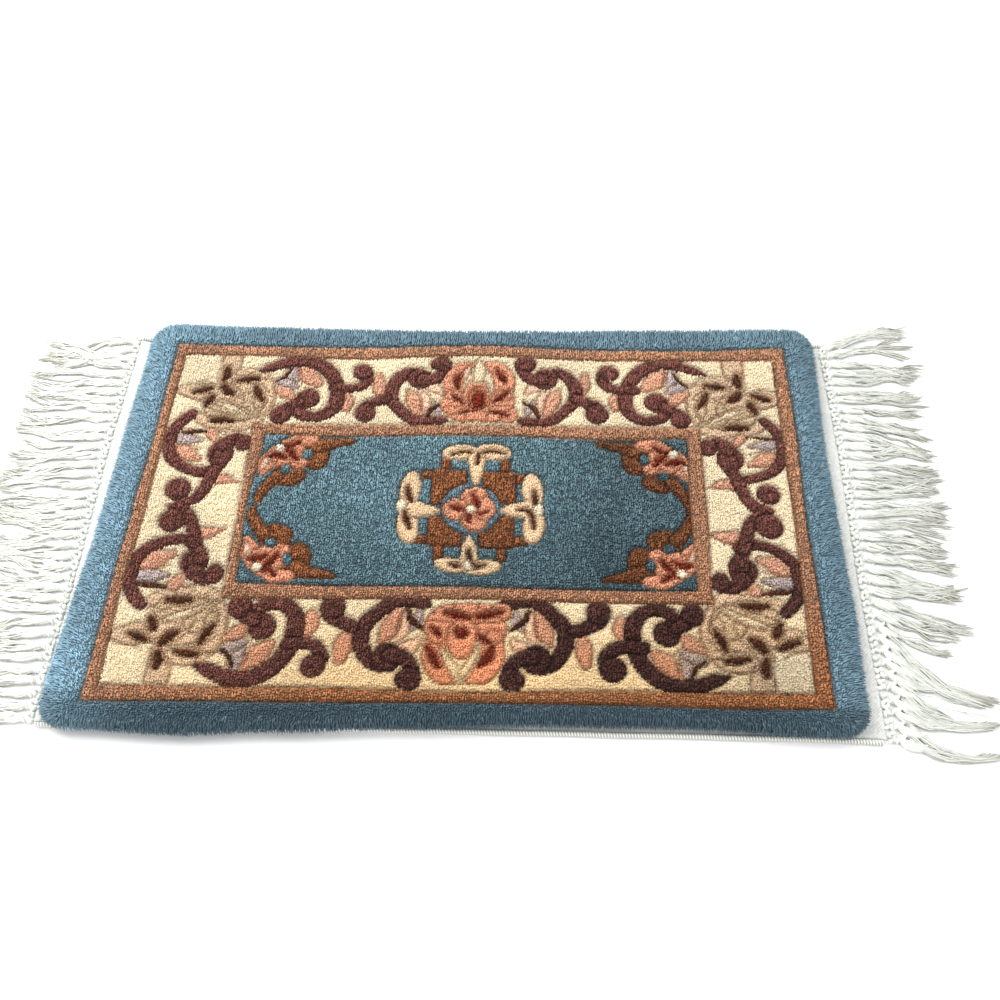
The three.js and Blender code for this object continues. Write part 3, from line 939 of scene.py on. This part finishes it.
def body_grid():
    """Places all over the unrolled sheet, in a grid with its corners drawn in to quarter circles."""
    half_x, half_y = BODY_HALF[0] + HEM, BODY_HALF[1] + HEM
    rows, columns = int(2 * half_x / BODY_PITCH), int(2 * half_y / BODY_PITCH)
    s, t = np.meshgrid(np.linspace(-1, 1, rows), np.linspace(-1, 1, columns), indexing="ij")
    s, t = s.ravel(), t.ravel()
    x, y = s * half_x, t * half_y
    for _ in range(3):
        reach_x, reach_y = side_reach(x, y, LONG_EDGES, SHORT_EDGES)
        x = s * (reach_x + HEM)
        y = t * (reach_y + HEM)
    radius = CORNER_RADIUS + HEM
    a = (np.abs(x) - (reach_x + HEM - radius)) / radius
    b = (np.abs(y) - (reach_y + HEM - radius)) / radius
    corner = (a > 0) & (b > 0)
    drawn_a = a * np.sqrt(np.maximum(1 - b * b / 2, 0))
    drawn_b = b * np.sqrt(np.maximum(1 - a * a / 2, 0))
    x = np.where(corner, np.sign(x) * (np.abs(x) + (drawn_a - a) * radius), x)
    y = np.where(corner, np.sign(y) * (np.abs(y) + (drawn_b - b) * radius), y)
    return x, y, rows, columns


def body_tints_with_painted_shade(x, y, colour, seam):
    """The dyes deep in the wool, with painted shade: darker than at its tips, and darkest at the
    carved lines.
    """
    tint = WOOL_DYES[colour]
    tint = tint * (0.4 + 0.4 * paleness(tint))[:, None] * dye_lot_and_painted_light(x, y, colour)
    return tint * (1 - 0.45 * np.exp(-(seam / SHADE_REACH) ** 2))[:, None]


def pile_body():
    """A closed body: the sheet wrapped over the pile, a wall to its foot and a flat underside."""
    x, y, rows, columns = body_grid()
    colour, seam = design(x, y)
    place, normal, _, _ = skin(x, y)
    place = place - normal * (BODY_SINK + 0.8 * carving(seam))[:, None]
    quads, rim = grid_faces(rows, columns)
    foot = place[rim]
    foot[:, :2] = np.clip(foot[:, :2] * FOOT_SHARE, FOOT_LOW, FOOT_HIGH)
    foot[:, 2] = PILE_FOOT_Z
    ring = len(place) + np.arange(len(rim))
    ring_after, rim_after = np.roll(ring, -1), np.roll(rim, -1)
    hub = np.full(len(rim), len(place) + len(rim))
    wall = np.stack([rim, ring, ring_after, rim_after], 1)
    tris = np.vstack([quads[:, [0, 1, 2]], quads[:, [0, 2, 3]],
                      wall[:, [0, 1, 2]], wall[:, [0, 2, 3]],
                      np.stack([ring_after, ring, hub], 1)])
    points = np.vstack([place, foot, [[0, 0, PILE_FOOT_Z]]])
    tint = body_tints_with_painted_shade(x, y, colour, seam)
    tint = np.vstack([tint, tint[rim], [DYES["cream"] * 0.5]])
    return new_piece("pile_body", points, tris, WOOL, "wool_pile", tint)


# Locks of wool: one small leaning spindle for each yarn end

LOCK_PITCH = 1.7
LOCK_FIELD = (310, 205)  # half sizes of the field of locks, before it is trimmed to the pile
LOCK_RADIUS = 1.0
LOCK_HALF = 0.9  # half the length of the spindle over its root
LOCK_ROOT = 3.2  # how far the root lies under the cut
KNOT_NUMBERS = 4096  # set aside for the knots of one row
LOCK_STRAY = 0.28
KNOT_STRAY = 0.34
LOCK_RAGGED = 0.2  # how uneven the cut is from lock to lock, and below from knot to knot
KNOT_RAGGED = 0.26
LOCK_FLECK = 0.55  # the same for the colour of the deep dyes
KNOT_FLECK = 0.4
DRAW = 0.08  # how far each lock is drawn in to its knot
LOCK_PIECES = 4
# Painted shade and highlight on a lock: how light it is at its root, three times round its middle, and
# at its tip.
DEEP_SHADES = np.array([0.25, 0.74, 0.74, 0.74, 1.3])
PALE_SHADES = np.array([0.8, 0.95, 0.95, 0.95, 1.04])
# Painted shade in the carved lines:
SEAM_SHADE = np.array([0.58, 0.68, 0.76])  # how much red, green and blue a carved line loses
PARTING = 0.75  # no lock stands nearer than this to a carved line
NAP = np.array([0.10, 0.30])  # the way the whole pile leans
LEAN_STRAY = 0.16
SEAM_LEAN = 0.35  # how much it leans away from a carved line, and how far from it
SEAM_LEAN_REACH = 1.5
EDGE_SPAN = (-16, 4)  # where the locks begin and end to lie over, measured from the outline
SPLAY = 1.0  # how much more they lean outwards by the edge
EDGE_LENGTH = 1.3  # how much longer they are there
EDGE_THIN = 0.28  # how much thinner they are there
# The faces of one lock: three from its root to its middle and three from there to its tip.
LOCK_FACES = np.array([(0, 2, 1), (0, 3, 2), (0, 1, 3), (4, 1, 2), (4, 2, 3), (4, 3, 1)])


def lock_places():
    """Four locks to a knot, drawn a little together, with every other row of knots half a step on."""
    xs, ys = (np.arange(-half, half, LOCK_PITCH) for half in LOCK_FIELD)
    i, j = np.meshgrid(np.arange(len(xs)), np.arange(len(ys)), indexing="ij")
    x, y = xs[i], ys[j]
    knot = (i // 2) * KNOT_NUMBERS + j // 2
    bow = 0.6 * np.sin(x / 37 + y / 90) + 0.4 * np.sin(x / 11)
    x = x + np.where(i % 2, -DRAW, DRAW) + 0.3 * np.sin(y / 23)
    y = y + np.where(j % 2, -DRAW, DRAW) + bow + LOCK_PITCH * (i // 2 % 2)
    x, y, knot = x.ravel(), y.ravel(), knot.ravel()
    stray = np.random.default_rng(11).normal(0, KNOT_STRAY, (2, knot.max() + 1))
    x = x + rng.normal(0, LOCK_STRAY, len(x)) + stray[0][knot]
    y = y + rng.normal(0, LOCK_STRAY, len(y)) + stray[1][knot]
    keep = skin(x, y)[3] < WALK - 0.5
    return x[keep], y[keep], knot[keep]


def part_at_seams(x, y):
    """Moves each lock off the edges of the design, so that colours meet in a clean line."""
    step = 0.4
    colour, seam = design(x, y)
    near = np.flatnonzero(seam < 1.0)
    gx = design(x[near] + step, y[near])[1] - design(x[near] - step, y[near])[1]
    gy = design(x[near], y[near] + step)[1] - design(x[near], y[near] - step)[1]
    away = np.zeros((len(x), 2))
    away[near] = np.stack([gx, gy], 1) / np.maximum(np.hypot(gx, gy), 1e-6)[:, None]
    push = np.maximum(PARTING - seam, 0)
    return x + away[:, 0] * push, y + away[:, 1] * push, colour, np.maximum(seam, PARTING), away


def lock_ways(normal, out, edge, seam, away):
    """Which way each lock points: up, with the nap, over the pile's sides and off the seams."""
    lean = np.zeros((len(edge), 3))
    lean[:, :2] = NAP * (1 - 0.5 * edge)[:, None]
    lean[:, :2] += SEAM_LEAN * away * np.exp(-seam / SEAM_LEAN_REACH)[:, None]
    downhill = np.c_[normal[:, 2:] * out, -(normal[:, :2] * out).sum(1)]
    lean += SPLAY * edge[:, None] * downhill + rng.normal(0, LEAN_STRAY, (len(edge), 3))
    way = normal + lean
    return way / np.linalg.norm(way, axis=1)[:, None]


def lock_points(top, way, edge):
    """Five points for each lock: its root, three round its middle and its tip."""
    across = np.cross(way, [0.0, 0.0, 1.0])
    flat = np.linalg.norm(across, axis=1) < 0.05
    across[flat] = np.cross(way[flat], [0.0, 1.0, 0.0])
    across /= np.linalg.norm(across, axis=1)[:, None]
    up = np.cross(across, way)
    radius = LOCK_RADIUS * rng.uniform(0.8, 1.2, len(edge)) * (1 - EDGE_THIN * edge)
    half = LOCK_HALF * (1 + EDGE_LENGTH * edge)
    turn = rng.uniform(0, 2 * math.pi, len(edge))
    root = top - way * LOCK_ROOT
    root[:, 2] = np.maximum(root[:, 2], PILE_FOOT_Z + 0.3)
    points = [root]
    for k in range(3):
        angle = turn + 2 * math.pi * k / 3
        side = across * np.cos(angle)[:, None] + up * np.sin(angle)[:, None]
        points.append(top - way * half[:, None] + side * radius[:, None])
    points.append(top + way * (half * rng.uniform(0.6, 1.4, len(edge)))[:, None])
    return np.stack(points, 1)


def lock_tints(x, y, colour, seam, edge, own):
    """The colour at each point of each lock: its dye, flecked, with the painted light and shade over
    the rug, painted shade in carved lines and at its root, and a painted highlight at its tip.
    """
    tone = WOOL_DYES[colour]
    pale = paleness(tone)
    fleck = LOCK_FLECK * rng.uniform(-1, 1, len(x)) + KNOT_FLECK * own
    fleck = fleck * (0.56 - 0.49 * pale - 0.12 * edge)
    tone = tone * (1 + fleck).clip(0.3, 1.9)[:, None] * dye_lot_and_painted_light(x, y, colour)
    tone = tone * (1 - SEAM_SHADE * np.exp(-(seam / SHADE_REACH) ** 2)[:, None])
    shade = DEEP_SHADES * (1 - pale)[:, None] + PALE_SHADES * pale[:, None]
    return tone[:, None, :] * shade[:, :, None]


def locks():
    """All the locks, in a few pieces from left to right."""
    x, y, knot = lock_places()
    x, y, colour, seam, away = part_at_seams(x, y)
    place, normal, out, distance = skin(x, y)
    edge = ease(*EDGE_SPAN, distance)
    way = lock_ways(normal, out, edge, seam, away)
    own = np.random.default_rng(7).normal(0, 1, knot.max() + 1)[knot]
    ragged = rng.normal(0, LOCK_RAGGED, len(x)) + KNOT_RAGGED * own
    points = lock_points(place + normal * (ragged - carving(seam))[:, None], way, edge)
    tints = lock_tints(x, y, colour, seam, edge, own)
    pieces = []
    for part, chosen in enumerate(np.array_split(np.argsort(x), LOCK_PIECES)):
        faces = (np.arange(len(chosen))[:, None, None] * 5 + LOCK_FACES).reshape(-1, 3)
        pieces.append(new_piece(f"wool_locks_{part + 1}", points[chosen].reshape(-1, 3), faces, WOOL,
                                None, tints[chosen].reshape(-1, 3)))
    return pieces


body = pile_body()
lock_pieces = locks()

# Threads and yarns


def tubes(paths, radii, sides, reference=(0, 0, 1)):
    """Round threads along many paths of equal length: points and four-sided faces."""
    paths = np.asarray(paths, float)
    count, steps = paths.shape[:2]
    radii = np.broadcast_to(radii, (count, steps))
    way = np.gradient(paths, axis=1)
    way /= np.maximum(np.linalg.norm(way, axis=2, keepdims=True), TINY)
    side = np.cross(way, np.asarray(reference, float))
    side /= np.maximum(np.linalg.norm(side, axis=2, keepdims=True), TINY)
    up = np.cross(side, way)
    angle = 2 * math.pi * (np.arange(sides) + 0.5) / sides
    ring = (side[:, :, None] * np.cos(angle)[:, None] + up[:, :, None] * np.sin(angle)[:, None])
    points = paths[:, :, None] + ring * radii[:, :, None, None]
    index = np.arange(count * steps * sides).reshape(count, steps, sides)
    after = np.roll(index, -1, axis=2)
    faces = np.stack([index[:, :-1], after[:, :-1], after[:, 1:], index[:, 1:]], -1)
    return points.reshape(-1, 3), faces.reshape(-1, 4)


def gathered(name, parts, node):
    """One cotton piece from several lots of (points, faces, tint of each point)."""
    points, faces, tints, start = [], [], [], 0
    for some_points, some_faces, tint in parts:
        points.append(some_points)
        faces.append(some_faces + start)
        tints.append(np.broadcast_to(tint, (len(some_points), 3)))
        start += len(some_points)
    return new_piece(name, np.vstack(points), np.vstack(faces), COTTON, node, np.vstack(tints))


COTTON_WHITE = dye(244, 246, 241)
COTTON_SHADE = dye(216, 218, 208)


def cotton_tints(count, points_each, low=0.92):
    """A slightly different white for each thread, for every point of it."""
    share = rng.uniform(0, 1, (count, 1))
    tint = COTTON_SHADE * share + COTTON_WHITE * (1 - share)
    tint = tint * rng.uniform(low, 1.02, (count, 1))
    return np.repeat(tint, points_each, axis=0)


# The cotton ground: the woven web that shows at both ends

GROUND_SIDES = {-1: {"half_width": 176.2, "flare": 1.5}, 1: {"half_width": 171.2, "flare": 5.5}}
FLARE_POWER = 12  # the ground only widens close to its ends
WEB_END = {"left": 304, "right": 297}
GROUND_THICK = 2.4
WEB_LENGTH = 601
WEB_HALF = 175
WEB_FINE = 26  # how far in from each end the weave is modelled
WEB_PLAIN = (40, 560)  # where the ground is plain, from its left end
WEB_COLUMNS = 300
WEAVE = 0.22  # how far its threads rise and fall
WEB_RIM = (1.0, 1.2)  # the heights between which its outermost threads lie
WEB_UNDER = 0.1


def ground_half_width(x, side):
    """How far the ground reaches to the front (-1) or the back (1)."""
    row = GROUND_SIDES[side]
    return row["half_width"] + row["flare"] * (np.abs(x) / WEB_END["right"]) ** FLARE_POWER


def web_end(side, y):
    """How far the web reaches to the left or the right."""
    return WEB_END[side] + 0.8 * np.sin(2 * math.pi * np.asarray(y, float) / 230)


def web_grid():
    """Places over the ground, close together at its two ends and far apart under the pile."""
    fine = np.linspace(0, WEB_FINE, 22)
    along = np.concatenate([fine, np.linspace(*WEB_PLAIN, 14), WEB_LENGTH - fine[::-1]]) / WEB_LENGTH
    across = np.linspace(-1, 1, WEB_COLUMNS)
    left, right = web_end("left", across * WEB_HALF), web_end("right", across * WEB_HALF)
    x = -left + along[:, None] * (left + right)
    half_width = np.where(across < 0, ground_half_width(x, -1), ground_half_width(x, 1))
    return np.dstack([x, across * half_width])


def cotton_ground():
    """A closed woven slab, with its weave at the two ends and plain under the pile."""
    flat = web_grid()
    rows, columns = flat.shape[:2]
    along, across = np.arange(rows)[:, None], np.arange(columns)[None, :]
    edge = np.minimum(np.minimum(along, along[::-1]), np.minimum(across, across[:, ::-1]))
    weave = WEAVE * ((along + across) % 2 * 2 - 1)
    swell = 0.175 * np.sin(flat[:, :, 1] / 17 + 1) * np.sin(flat[:, :, 0] / 9)
    top = GROUND_THICK - 0.5 + weave + swell
    top = np.where(edge == 0, WEB_RIM[1], np.where(edge == 1, top * 0.9, top))
    over = np.dstack([flat, top]).reshape(-1, 3)
    under = np.dstack([flat, np.where(edge == 0, WEB_RIM[0], WEB_UNDER)]).reshape(-1, 3)
    quads, rim = grid_faces(rows, columns)
    total = rows * columns
    rim_after = np.roll(rim, -1)
    wall = np.stack([rim_after, rim, rim + total, rim_after + total], 1)
    faces = np.vstack([quads, quads[:, ::-1] + total, wall])
    # darker overall and varied at random, with painted shade on the low threads of the weave and
    # painted light on the raised ones
    web_tone_and_weave_shade = 0.74 + 0.1 * rng.uniform(-1, 1, total) + 0.25 * weave.ravel()
    tint = np.tile(COTTON_WHITE * web_tone_and_weave_shade[:, None], (2, 1))
    return new_piece("cotton_web", np.vstack([over, under]), faces, COTTON, "cotton_ground",
                     tint)


web = cotton_ground()

# The overcast selvedges

SELVEDGE_OUT = 2.4  # from the ground's edge to the middle of the cord
SELVEDGE_Z = 1.9
CORD_ENDS = (-303, 296)
CORD_RADIUS = 1.5
CORD_STEPS = 120
STITCH_START = -302
STITCH_LENGTH = 597
STITCH_PITCH = 2.1
STITCH_STEPS = 8
STITCH_REACH = 1.55
STITCH_RADIUS = 0.62


def selvedge(name, side):
    """A cord wound round with sewing thread, along the front (-1) or back (1) edge."""
    turns = int(STITCH_LENGTH / STITCH_PITCH)
    t = np.arange(turns * STITCH_STEPS + 1) / STITCH_STEPS
    x = STITCH_START + t * STITCH_LENGTH / turns
    angle = 2 * math.pi * t * -side
    middle = side * (ground_half_width(x, side) + SELVEDGE_OUT + 0.25 * np.sin(x / 13 + side))
    wound = np.stack([x, middle + STITCH_REACH * np.cos(angle),
                      SELVEDGE_Z + STITCH_REACH * np.sin(angle)], 1)
    thread = tubes(wound[None], STITCH_RADIUS, 4, (1, 0, 0))
    cord_x = np.linspace(*CORD_ENDS, CORD_STEPS)
    cord_y = side * (ground_half_width(cord_x, side) + SELVEDGE_OUT)
    cord = np.stack([cord_x, cord_y, np.full(CORD_STEPS, SELVEDGE_Z)], 1)
    from_end = np.minimum(np.arange(CORD_STEPS), np.arange(CORD_STEPS)[::-1])
    core = tubes(cord[None], CORD_RADIUS * np.minimum(1, from_end + 0.05)[None], 8)
    return gathered(name, [(*thread, COTTON_WHITE), (*core, COTTON_SHADE * 0.8)],
                    name.replace("overcast", "selvedge"))


selvedge("overcast_front", -1)
selvedge("overcast_back", 1)

# The fringes

TASSELS = 38
FRINGE_SPREAD = 352
# Two rows of loops where the warps leave the web: how far out each is, and how far shifted.
KNOT_ROWS = ((1.0, 0.0), (3.9, 1.2))
KNOT_LOBE = 2.35
KNOT_Z = 1.9
YARN_RADIUS = 1.12
PLAIT_TURNS = 3
PLAIT_START = 5.2
PLAIT_PITCH = 1.9
PLAIT_LENGTH = 4.6
PLAIT_FROM = -3.6
PLAIT_WIDTH = 6.4
PLAIT_Z = 1.4
NECK_YARNS = 7
NECK_START = 7.5
NECK_SHARE = 0.3  # of the tassel's length
NECK_HALF_WIDTH = 2.5
NECK_HALF_HEIGHT = 1.35
NECK_Z = 2.5
THREADS = 24
BUNDLES = 4
THREAD_STEPS = 13
THREAD_START = 13
STRAYS_A_SIDE = 46
STRAY_START = 14
STRAY_RADIUS = 0.36
# The lie of the tassels from the front to the back: headings away from straight out, in degrees, at
# the root, the middle and the tip, and the length.
RIGHT_LAY = table(
    "at root middle tip length",
    (0.01, -49, -17, 17, 72), (0.06, -48, -20, 12, 76), (0.11, -46, -22, 6, 70),
    (0.14, -42, -26, -18, 78), (0.2, -58, -34, -26, 80), (0.235, -46, -30, 2, 56),
    (0.29, -18, -22, -4, 68), (0.33, -12, -10, -2, 66), (0.38, -20, -6, 2, 68),
    (0.42, -10, -10, -14, 62), (0.5, 12, 2, -12, 66), (0.6, -4, 0, 0, 66),
    (0.68, 0, -6, -14, 68), (0.78, -10, -14, -16, 67), (0.84, 0, 0, 4, 68),
    (0.88, 0, 0, 0, 60), (0.95, 3, -2, -5, 76), (1, 38, 24, -8, 72),
)
LEFT_LAY = table(
    "at root middle tip length",
    (0, -6, 8, 6, 72), (0.15, -4, -8, -10, 74), (0.27, 3, -4, 10, 76),
    (0.34, -18, 20, 24, 74), (0.42, -9, -1, 5, 74), (0.49, -24, 12, 22, 76),
    (0.57, -1, -9, -6, 76), (0.66, -8, -6, 8, 75), (0.73, -14, 4, 17, 77),
    (0.78, 14, -6, 12, 75), (0.83, 0, -6, 20, 76), (0.88, 8, -4, -12, 79),
    (0.93, 10, 18, 4, 76), (0.97, -24, -20, -15, 66), (1, 7, -14, -20, 72),
)
# The first tassel of each clump, and how far back the clumps at the front corner lie tight.
RIGHT_GROUPS = (0, 2, 5, 9, 10, 12, 15, 16, 19, 21, 24, 25, 28, 30, 31, 33, 36)
LEFT_GROUPS = (0, 2, 5, 6, 9, 12, 13, 17, 20, 21, 24, 26, 29, 30, 33, 35)
TIGHT_CLUMPS = -100
TIGHTNESS = {"left": 0, "right": 0.72}  # how far those clumps close on their middle lines
THREAD_SHADE = np.array([0.56, 0.59, 0.66])  # how dark the lowest threads are seen


def tassel_paths(lay, outward, start_x, start_y, place, steps, turn, length_share):
    """Where threads run on the floor, from the lay's table, with an extra turn for each."""
    share = (np.arange(steps) + 0.5) / steps
    root, middle, tip, length = (between(lay, column, place)[:, None]
                                 for column in ("root", "middle", "tip", "length"))
    length = length * length_share[:, None]
    first = root + (middle - root) * ease(0, 0.5, share)
    second = middle + (tip - middle) * ease(0.5, 1, share)
    heading = np.radians(np.where(share < 0.5, first, second) + turn)
    dx = np.cumsum(np.cos(heading), 1) * length / steps
    dy = np.cumsum(np.sin(heading), 1) * length / steps
    x = start_x[:, None] + outward * np.c_[np.zeros(len(place)), dx]
    y = start_y[:, None] + np.c_[np.zeros(len(place)), dy]
    return x, y


def draw_together(groups, tightness, tassel, y0, s, y):
    """Brings the tassels of each group nearer to one another towards their tips."""
    group = np.searchsorted(groups, np.arange(TASSELS), side="right") - 1
    middles = np.array([y0[group == g].mean() for g in range(len(groups))])
    pull = np.where(middles < TIGHT_CLUMPS, 1, rng.uniform(0.45, 0.95, len(groups)))[group]
    offset = (pull * (middles[group] - y0))[tassel]
    y = y + offset[:, None] * ease(0.15, 0.9, s)
    for g in np.flatnonzero(middles < TIGHT_CLUMPS):
        threads = np.flatnonzero(group[tassel] == g)
        middle = y[threads].mean(0)
        y[threads] = middle + (y[threads] - middle) * (1 - tightness * ease(0.1, 0.9, s))
    return y


def lumps(centres, reach, fatness, heading):
    """Rounded beads: short fat tubes, each centred on a place and lying along a heading."""
    profile = np.array([[-1, 0.1], [-0.75, 0.72], [-0.25, 1], [0.25, 1], [0.75, 0.72], [1, 0.1]])
    way = np.stack([np.cos(heading), np.sin(heading), np.zeros(len(heading))], 1)
    paths = centres[:, None] + way[:, None] * (profile[None, :, :1] * reach[:, None, None])
    return tubes(paths, profile[None, :, 1] * fatness[:, None], 7)


def knots(outward, end, y0):
    """The chain of small two-lobed loops where the warps leave the web."""
    centres, reach, fatness, heading = [], [], [], []
    for row, (out, shift) in enumerate(KNOT_ROWS):
        for lobe in (-1, 1):
            centres.append(np.stack([outward * (end + out) + rng.normal(0, 0.3, TASSELS),
                                     y0 + shift + lobe * KNOT_LOBE + rng.normal(0, 0.3, TASSELS),
                                     KNOT_Z + rng.normal(0, 0.25, TASSELS)], 1))
            reach.append(rng.uniform(2.1, 2.7, TASSELS))
            fatness.append(rng.uniform(1.35, 1.8, TASSELS))
            heading.append(rng.normal(0.9 * lobe * (1 if row else -1), 0.3, TASSELS))
    points, faces = lumps(np.vstack(centres), np.concatenate(reach), np.concatenate(fatness),
                          np.concatenate(heading))
    return points, faces, cotton_tints(4 * TASSELS, len(points) // (4 * TASSELS))


def plaits(outward, end, y0):
    """The slanting wrapped yarns between the loops and the necks of the tassels."""
    t = np.linspace(0, 1, 8)
    paths = []
    for turn in range(PLAIT_TURNS):
        for y, x in zip(y0, end):
            slant = rng.normal(1.0, 0.15)
            along = x + PLAIT_START + turn * PLAIT_PITCH + PLAIT_LENGTH * t
            over = y + (PLAIT_FROM + PLAIT_WIDTH * t) * slant + 0.4 * turn
            high = PLAIT_Z + (1.7 + 0.3 * turn) * np.sin(math.pi * t) + rng.normal(0, 0.15)
            paths.append(np.stack([outward * along, over, high], 1))
    taper = np.array([0.15, 0.8, 1, 1.05, 1.05, 1, 0.8, 0.15])
    points, faces = tubes(paths, YARN_RADIUS * taper[None], 6)
    return points, faces, cotton_tints(len(paths), len(points) // len(paths))


def necks(lay, outward, end, y0, place):
    """The plump doubled yarns that each tassel starts with, twisted a little round one another."""
    lots = []
    for k in range(NECK_YARNS):
        round_at = 2 * math.pi * k / NECK_YARNS + rng.uniform(0, 0.4, TASSELS)
        start_x = outward * (end + NECK_START)
        x, y = tassel_paths(lay, outward, start_x, y0 + rng.normal(0, 0.3, TASSELS), place, 8,
                            np.zeros((TASSELS, 1)), np.full(TASSELS, NECK_SHARE))
        s = np.linspace(0, 1, 9)[None]
        twist = round_at[:, None] + 1.5 * s
        swell = 0.55 + 0.5 * np.sin(math.pi * np.minimum(s * 1.25, 1))
        y = y + NECK_HALF_WIDTH * swell * np.cos(twist)
        z = NECK_Z + NECK_HALF_HEIGHT * swell * np.sin(twist) - 0.5 * s
        taper = np.array([0.4, 0.9, 1.05, 1.15, 1.15, 1.1, 1.0, 0.8, 0.2])
        points, faces = tubes(np.stack([x, y, z], 2), YARN_RADIUS * taper[None], 5)
        lots.append((points, faces, cotton_tints(TASSELS, len(points) // TASSELS)))
    return lots


def bundle_ways():
    """How the bundles lie in their tassels and wave: one value of each kind for every bundle."""
    count = TASSELS * BUNDLES
    lane = np.tile(np.linspace(-1, 1, BUNDLES), TASSELS) + rng.normal(0, 0.16, count)
    return {
        "lane": lane,
        "turn": rng.normal(0, 4.5, count) + lane,
        "length": rng.normal(1, 0.055, count),
        "phase": rng.uniform(0, 2 * math.pi, count),
        "wave": rng.uniform(0.4, 2.0, count),
        "waves": rng.uniform(1.0, 2.6, count),
        "lift": rng.uniform(0.4, 3.0, count),
    }


def strands(lay, outward, end, y0, place, groups, tightness):
    """Loose threads: each tassel opens into a few bundles that wave and part by the tips."""
    count = TASSELS * THREADS
    tassel = np.repeat(np.arange(TASSELS), THREADS)
    bundle = np.tile(np.arange(THREADS) % BUNDLES, TASSELS) + BUNDLES * tassel
    way = {name: values[bundle][:, None] for name, values in bundle_ways().items()}
    turn = way["turn"] + rng.normal(0, 1.3, (count, 1))
    length = np.clip(way["length"][:, 0] + rng.normal(0, 0.05, count), 0.7, 1.14) * 0.99 - 0.12
    start_x = outward * (end[tassel] + THREAD_START + rng.uniform(0, 4, count))
    x, y = tassel_paths(lay, outward, start_x, y0[tassel], place[tassel], THREAD_STEPS,
                        turn * np.linspace(0.3, 1.6, THREAD_STEPS), length)
    s = np.linspace(0, 1, THREAD_STEPS + 1)[None]
    fray = rng.normal(0, 1, (count, 1)) * (0.45 + 0.5 * s ** 2)
    wave = way["wave"] * np.sin(2 * math.pi * way["waves"] * s + way["phase"]) * ease(0, 0.35, s)
    crimp = 0.42 * np.sin(2 * math.pi * rng.uniform(2.5, 5, (count, 1)) * s
                          + rng.uniform(0, 6.3, (count, 1)))
    bead = (2.3 - 0.6 * s) * way["lane"]
    y = draw_together(groups, tightness, tassel, y0, s, y + bead + wave + crimp + fray)
    root_z = 2.4 + 1.2 * np.cos(way["lane"] * 1.4) + rng.normal(0, 0.5, (count, 1))
    rest_z = 0.35 + way["lift"] * (1 - 0.75 * s) + np.abs(rng.normal(0, 0.4, (count, 1)))
    settled = ease(0.05, 0.5, s)
    z = np.maximum(root_z * (1 - settled) + rest_z * settled + 0.3 * crimp, 0.3)
    taper = np.array([0.5, 1.1] + [1.0] * (THREAD_STEPS - 4) + [0.9, 0.75, 0.25])
    points, faces = tubes(np.stack([x, y, z], 2), rng.uniform(0.38, 0.74, (count, 1)) * taper, 3)
    # threads that lie low, in the gaps of their tassel, are seen in shade
    tints = cotton_tints(count, len(points) // count, 0.86)
    return points, faces, tints * (1 - THREAD_SHADE * ease(2.6, 0.2, points[:, 2])[:, None])


def strays(side, lay, outward):
    """A few single threads that cross their neighbours."""
    place = rng.uniform(0, 1, STRAYS_A_SIDE)
    start_y = (place - 0.5) * FRINGE_SPREAD
    start_x = outward * (web_end(side, start_y) + STRAY_START)
    turn = rng.normal(0, 15, (STRAYS_A_SIDE, 1)) * np.linspace(1, -0.4, THREAD_STEPS)
    x, y = tassel_paths(lay, outward, start_x, start_y, place, THREAD_STEPS, turn,
                        rng.uniform(0.6, 1.02, STRAYS_A_SIDE))
    s = np.linspace(0, 1, THREAD_STEPS + 1)[None]
    arch = rng.uniform(0.6, 1.2, (STRAYS_A_SIDE, 1))
    z = 1.2 + 2.4 * np.sin(math.pi * np.minimum(s + 0.15, 1)) * arch
    y = y + 1.4 * np.sin(2 * math.pi * rng.uniform(0.7, 1.6, (STRAYS_A_SIDE, 1)) * s
                         + rng.uniform(0, 6.3, (STRAYS_A_SIDE, 1)))
    points, faces = tubes(np.stack([x, y, z], 2), STRAY_RADIUS, 3)
    return points, faces, cotton_tints(STRAYS_A_SIDE, len(points) // STRAYS_A_SIDE)


def fringe(name, side, lay, groups):
    """One end's knots, plaits, necks and loose threads, as one piece."""
    outward = -1 if side == "left" else 1
    place = np.arange(TASSELS) / (TASSELS - 1)
    place = place + rng.normal(0, 0.0012, TASSELS)
    y0 = (place - 0.5) * FRINGE_SPREAD
    end = web_end(side, y0)
    parts = [knots(outward, end, y0), plaits(outward, end, y0), *necks(lay, outward, end, y0, place),
             strands(lay, outward, end, y0, place, groups, TIGHTNESS[side]),
             strays(side, lay, outward)]
    return gathered(name, parts, f"fringe_{side}")


fringe("tassels_left", "left", LEFT_LAY, LEFT_GROUPS)
fringe("tassels_right", "right", RIGHT_LAY, RIGHT_GROUPS)
